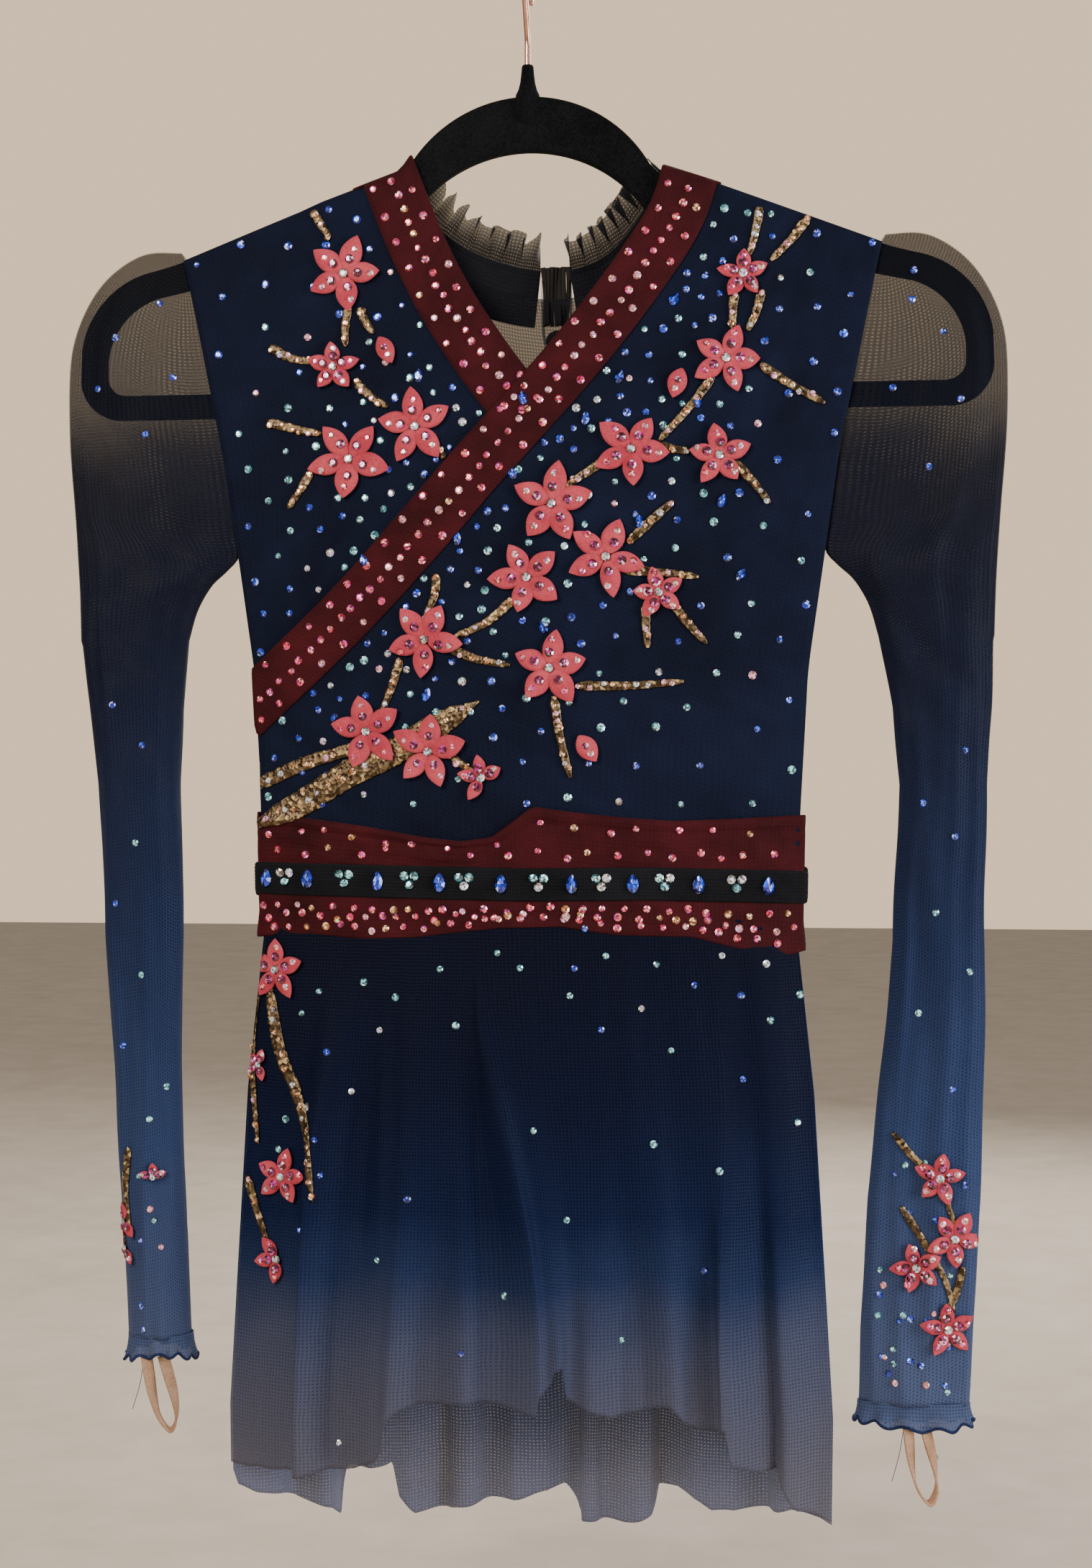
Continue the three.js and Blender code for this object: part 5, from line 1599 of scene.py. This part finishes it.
def sash_jewels(rng):
    """Blue drops and trios of pale stones, turn about, along the black band."""
    for x in (-129, -107, -71, -40, -10, 24, 53, 84, 117):
        z = -458.5 + cord_sway(x, -1)
        stone(FRONT, x, z, 9.0, "sapphire", "dress", rng, "drop", lift=0.1)
    for x in (-119, -88, -55, -28, 8, 38, 68, 102):
        z = -457.0 + cord_sway(x, -1)
        for dx, dz in ((-2.5, 1.6), (2.5, 1.6), (0.0, -2.6)):
            stone(FRONT, x + dx, z + dz, 4.5, rng.choice(["aqua", "aqua", "clear"]), "dress", rng, lift=0.1)


def skirt_stones(rng):
    for x, z in [(-1, -499), (40, -493), (25, -499), (23, -512), (57, -518), (82, -507), (104, -512),
                 (38, -528),
                 (71, -538), (116, -497), (118, -524), (132, -512), (105, -552), (131, -573), (6, -576),
                 (63, -582),
                 (94, -595), (22, -618), (87, -642), (-8, -655), (-40, -500), (-62, -514), (-78, -507),
                 (-101, -512),
                 (-110, -523), (-96, -541), (-106, -568), (-118, -575), (-84, -560), (-101, -583),
                 (-122, -590),
                 (-70, -530), (-32, -527), (-55, -610), (-70, -640), (-110, -628), (-98, -600),
                 (-28, -682), (48, -675),
                 (-90, -730), (30, -480), (-12, -492), (64, -497), (95, -493)]:
        size = rng.choice([3.2, 3.8])
        tint = pick(rng, [("aqua", 45), ("clear", 25), ("sapphire", 30)])
        stone(FRONT, x, z, size, tint, "dress", rng, lift=0.05)


def blossom_stones(rng, flowers, reader, body, lift=1.9):
    """A pale stone at the middle and two on each petal: a dark one near the middle, a paler one
    beyond it."""
    for x, z, radius, turn, count in flowers:
        stone(reader, x, z, 4.2 if radius > 11 else 3.4, "clear", body, rng, lift=lift + 0.5)
        for k in range(count):
            a = math.radians(turn + k * 72)
            pale = pick(rng, [("rose", 50), ("blush", 50)])
            for share, tint, size in ((0.4, "crimson", 4.6), (0.7, pale, 3.3)):
                if radius < 12 and share > 0.5 and k % 2:
                    continue
                reach = radius * share * rng.uniform(0.94, 1.06)
                b = a + rng.uniform(-0.1, 0.1)
                stone(reader, x + reach * math.cos(b), z + reach * math.sin(b),
                      size if radius > 11 else size * 0.8,
                      tint, body, rng, lift=lift + 0.55)


def branch_stones(rng, line, reader, body, gap=4.6):
    fine = smooth_line([p[:2] for p in line], 60)
    run = np.concatenate([[0], np.cumsum(np.hypot(*np.diff(fine, axis=0).T))])
    at = rng.uniform(1.0, 3.0)
    wide = line[0][2] if len(line[0]) > 2 else 1.8
    while at < run[-1] - 1:
        i = int(np.searchsorted(run, at))
        x, z = fine[min(i, 59)]
        slip = rng.uniform(-0.55, 0.55) * wide
        stone(reader, x + slip * 0.6, z + slip, rng.choice([2.5, 2.9, 3.4]),
              pick(rng, [("amber", 66), ("clear", 20), ("blush", 14)]), body, rng, lift=1.05)
        at += gap * rng.uniform(0.75, 1.5)


def appliques():
    rng = random.Random(5)
    flowers = []
    for name, line in CAD_BRANCHES.items():
        branch_ribbon(f"glitter_branch_{name}", line, FRONT, "dress", f"branch_{name}")
        branch_stones(rng, line, FRONT, "dress", 5.5)
    parts = []
    for k, line in enumerate(TWIGS + SKIRT_TWIGS):
        shaped = [(x, z, 2.4 - 0.45 * i) for i, (x, z) in enumerate(line)]
        parts.append(branch_ribbon(f"twig_{k}", shaped, FRONT, "dress"))
        branch_stones(rng, shaped, FRONT, "dress", 4.9 if k < len(TWIGS) else 9.0)
    join_as("glitter_twigs", parts)
    for name, (x, z, radius, turn) in BLOSSOMS.items():
        under = 1.0 if name.startswith("waist") else 0.55
        made = petals_mesh(f"petals_{name}", flower(x, z, radius, turn, 5, rng), FRONT, "dress", under)
        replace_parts(made, f"blossom_{name}")
        flowers.append((x, z, radius, turn, 5))
    extra = [p for spot in EXTRA_FLOWERS for p in flower(*spot, rng)]
    singles = [(x, z, math.radians(a), length, width) for x, z, a, length, width in SINGLE_PETALS]
    petals_mesh("small_blossoms", extra + singles, FRONT, "dress")
    blossom_stones(rng, flowers + EXTRA_FLOWERS, FRONT, "dress")
    for x, z, a, length, _ in singles:
        for share, tint in ((0.4, "crimson"), (0.68, "blush")):
            stone(FRONT, x + length * share * math.cos(a), z + length * share * math.sin(a), 3.4, tint,
                  "dress", rng,
                  lift=2.3)
    for word, spots in CUFF_FLOWERS.items():
        side, body, reader = (-1 if word == "left" else 1), f"sleeve_{word}", SLEEVE_FACE[word]
        twigs = []
        for k, line in enumerate(CUFF_TWIGS[word]):
            shaped = [(x, z, 1.9 - 0.25 * i) for i, (x, z) in enumerate(line)]
            twigs.append(branch_ribbon(f"cuff_twig_{word}_{k}", shaped, reader, body))
        join_as(f"cuff_twigs_{word}", twigs)
        petals_mesh(f"cuff_petals_{word}", [p for spot in spots for p in flower(*spot, rng)], reader, body)
        blossom_stones(rng, spots, reader, body)
        for _ in range(34 if side > 0 else 10):
            z = rng.uniform(-702, -590)
            (a, _), (b, _) = edges_at(word, z)
            x = side * rng.uniform(a + 6, b - 6)
            if side > 0 and rng.random() < 0.55:
                z = rng.uniform(-702, -662)
            size = rng.choice([2.8, 3.4])
            tint = pick(rng, [("sapphire", 40), ("aqua", 40), ("blush", 20)])
            stone(reader, x, z, size, tint, body, rng)
    for word, spots in {"left": [(-190, -392), (-205, -372), (-193, -440), (-204, -470), (-190, -505),
                                 (-200, -540), (-186, -576), (-178, -560), (-190, -668)],
                        "right": [(190, -420), (205, -436), (210, -395), (196, -472), (212, -500),
                                  (188, -520),
                                  (204, -556), (182, -640)]}.items():
        for x, z in spots:
            stone(SLEEVE_FACE[word], x, z, 3.4, pick(rng, [("sapphire", 60), ("aqua", 40)]),
                  f"sleeve_{word}", rng)
    for word, spots in {"left": [(-183, -173), (-205, -190), (-176, -210), (-214, -215), (-190, -238)],
                        "right": [(185, -180), (200, -196), (176, -222), (208, -228), (193, -260),
                                  (186, -166)]}.items():
        for x, z in spots:
            stone(SLEEVE_FACE[word], x, z, 3.6, "sapphire", "dress", rng)
    bodice_stones(rng)
    band_stones(rng)
    sash_jewels(rng)
    skirt_stones(rng)
    make_stones()


def edges_at(word, z):
    """The inner and outer edge of a sleeve at a height below its cap."""
    f = (z + 340) / (CUFF[word] + 340)
    return sleeve_row(word, 0.34 + 0.66 * min(1.0, f))[:2]


appliques()


# ---- floor, light and camera ----
def area_light(name, place, aim, size, power, colour=(1, 1, 1)):
    lamp = bpy.data.lights.new(name, "AREA")
    lamp.shape = "RECTANGLE"
    lamp.size, lamp.size_y = size
    lamp.energy = power
    lamp.color = colour
    held = bpy.data.objects.new(name, lamp)
    held.location = place
    held.rotation_euler = (Vector(aim) - Vector(place)).to_track_quat("-Z", "Y").to_euler()
    bpy.context.scene.collection.objects.link(held)


def floor():
    mesh = bpy.data.meshes.new("floor")
    z = -0.86
    mesh.from_pydata([(-6, -6, z), (6, -6, z), (6, 6, z), (-6, 6, z)], [], [(0, 1, 2, 3)])
    made = bpy.data.objects.new("floor", mesh)
    bpy.context.scene.collection.objects.link(made)
    pale, tree, shader = new_material("pale floor", 0.85)
    tone = place_group(tree, TONE, object_coordinates(tree), Deep=(0.6, 0.49, 0.38, 1),
                       Light=(0.69, 0.57, 0.45, 1))
    tree.links.new(tone.outputs["Color"], shader.inputs["Base Color"])
    made.data.materials.append(pale)


def camera():
    """Level with the sash and a little to the right of the middle."""
    azimuth, distance = math.radians(6.5), 1.1
    aim = Vector((0.009, 0, -0.411))
    made = bpy.data.objects.new("camera", bpy.data.cameras.new("camera"))
    made.data.sensor_width = made.data.sensor_height = 36
    made.data.lens = 51.8
    made.data.clip_start = 0.05
    made.location = aim + Vector((math.sin(azimuth), -math.cos(azimuth), 0)) * distance
    made.rotation_euler = (aim - made.location).to_track_quat("-Z", "Y").to_euler()
    bpy.context.scene.collection.objects.link(made)
    bpy.context.scene.camera = made


floor()
area_light("key", (-0.9, -1.5, 0.5), (0, 0, -0.35), (0.9, 0.9), 34, (1.0, 0.96, 0.9))
area_light("window", (1.35, -0.55, -0.35), (0.1, 0, -0.5), (0.6, 1.2), 26, (0.86, 0.93, 1.0))
area_light("back", (0.5, 1.4, 0.3), (0, 0, -0.45), (1.4, 1.0), 26)


def room():
    """A warm pale room: brighter to look at than it lights, so the dark cloth keeps its depth."""
    world = bpy.data.worlds.new("studio")
    world.use_nodes = True
    tree = world.node_tree
    seen = tree.nodes.new("ShaderNodeBackground")
    seen.inputs["Color"].default_value = (0.86, 0.66, 0.44, 1)
    seen.inputs["Strength"].default_value = 1.25
    lit = tree.nodes["Background"]
    lit.inputs["Color"].default_value = (0.92, 0.88, 0.82, 1)
    lit.inputs["Strength"].default_value = 0.42
    mix, path = tree.nodes.new("ShaderNodeMixShader"), tree.nodes.new("ShaderNodeLightPath")
    tree.links.new(path.outputs["Is Camera Ray"], mix.inputs[0])
    tree.links.new(lit.outputs[0], mix.inputs[1])
    tree.links.new(seen.outputs[0], mix.inputs[2])
    tree.links.new(mix.outputs[0], tree.nodes["World Output"].inputs["Surface"])
    bpy.context.scene.world = world


room()
camera()
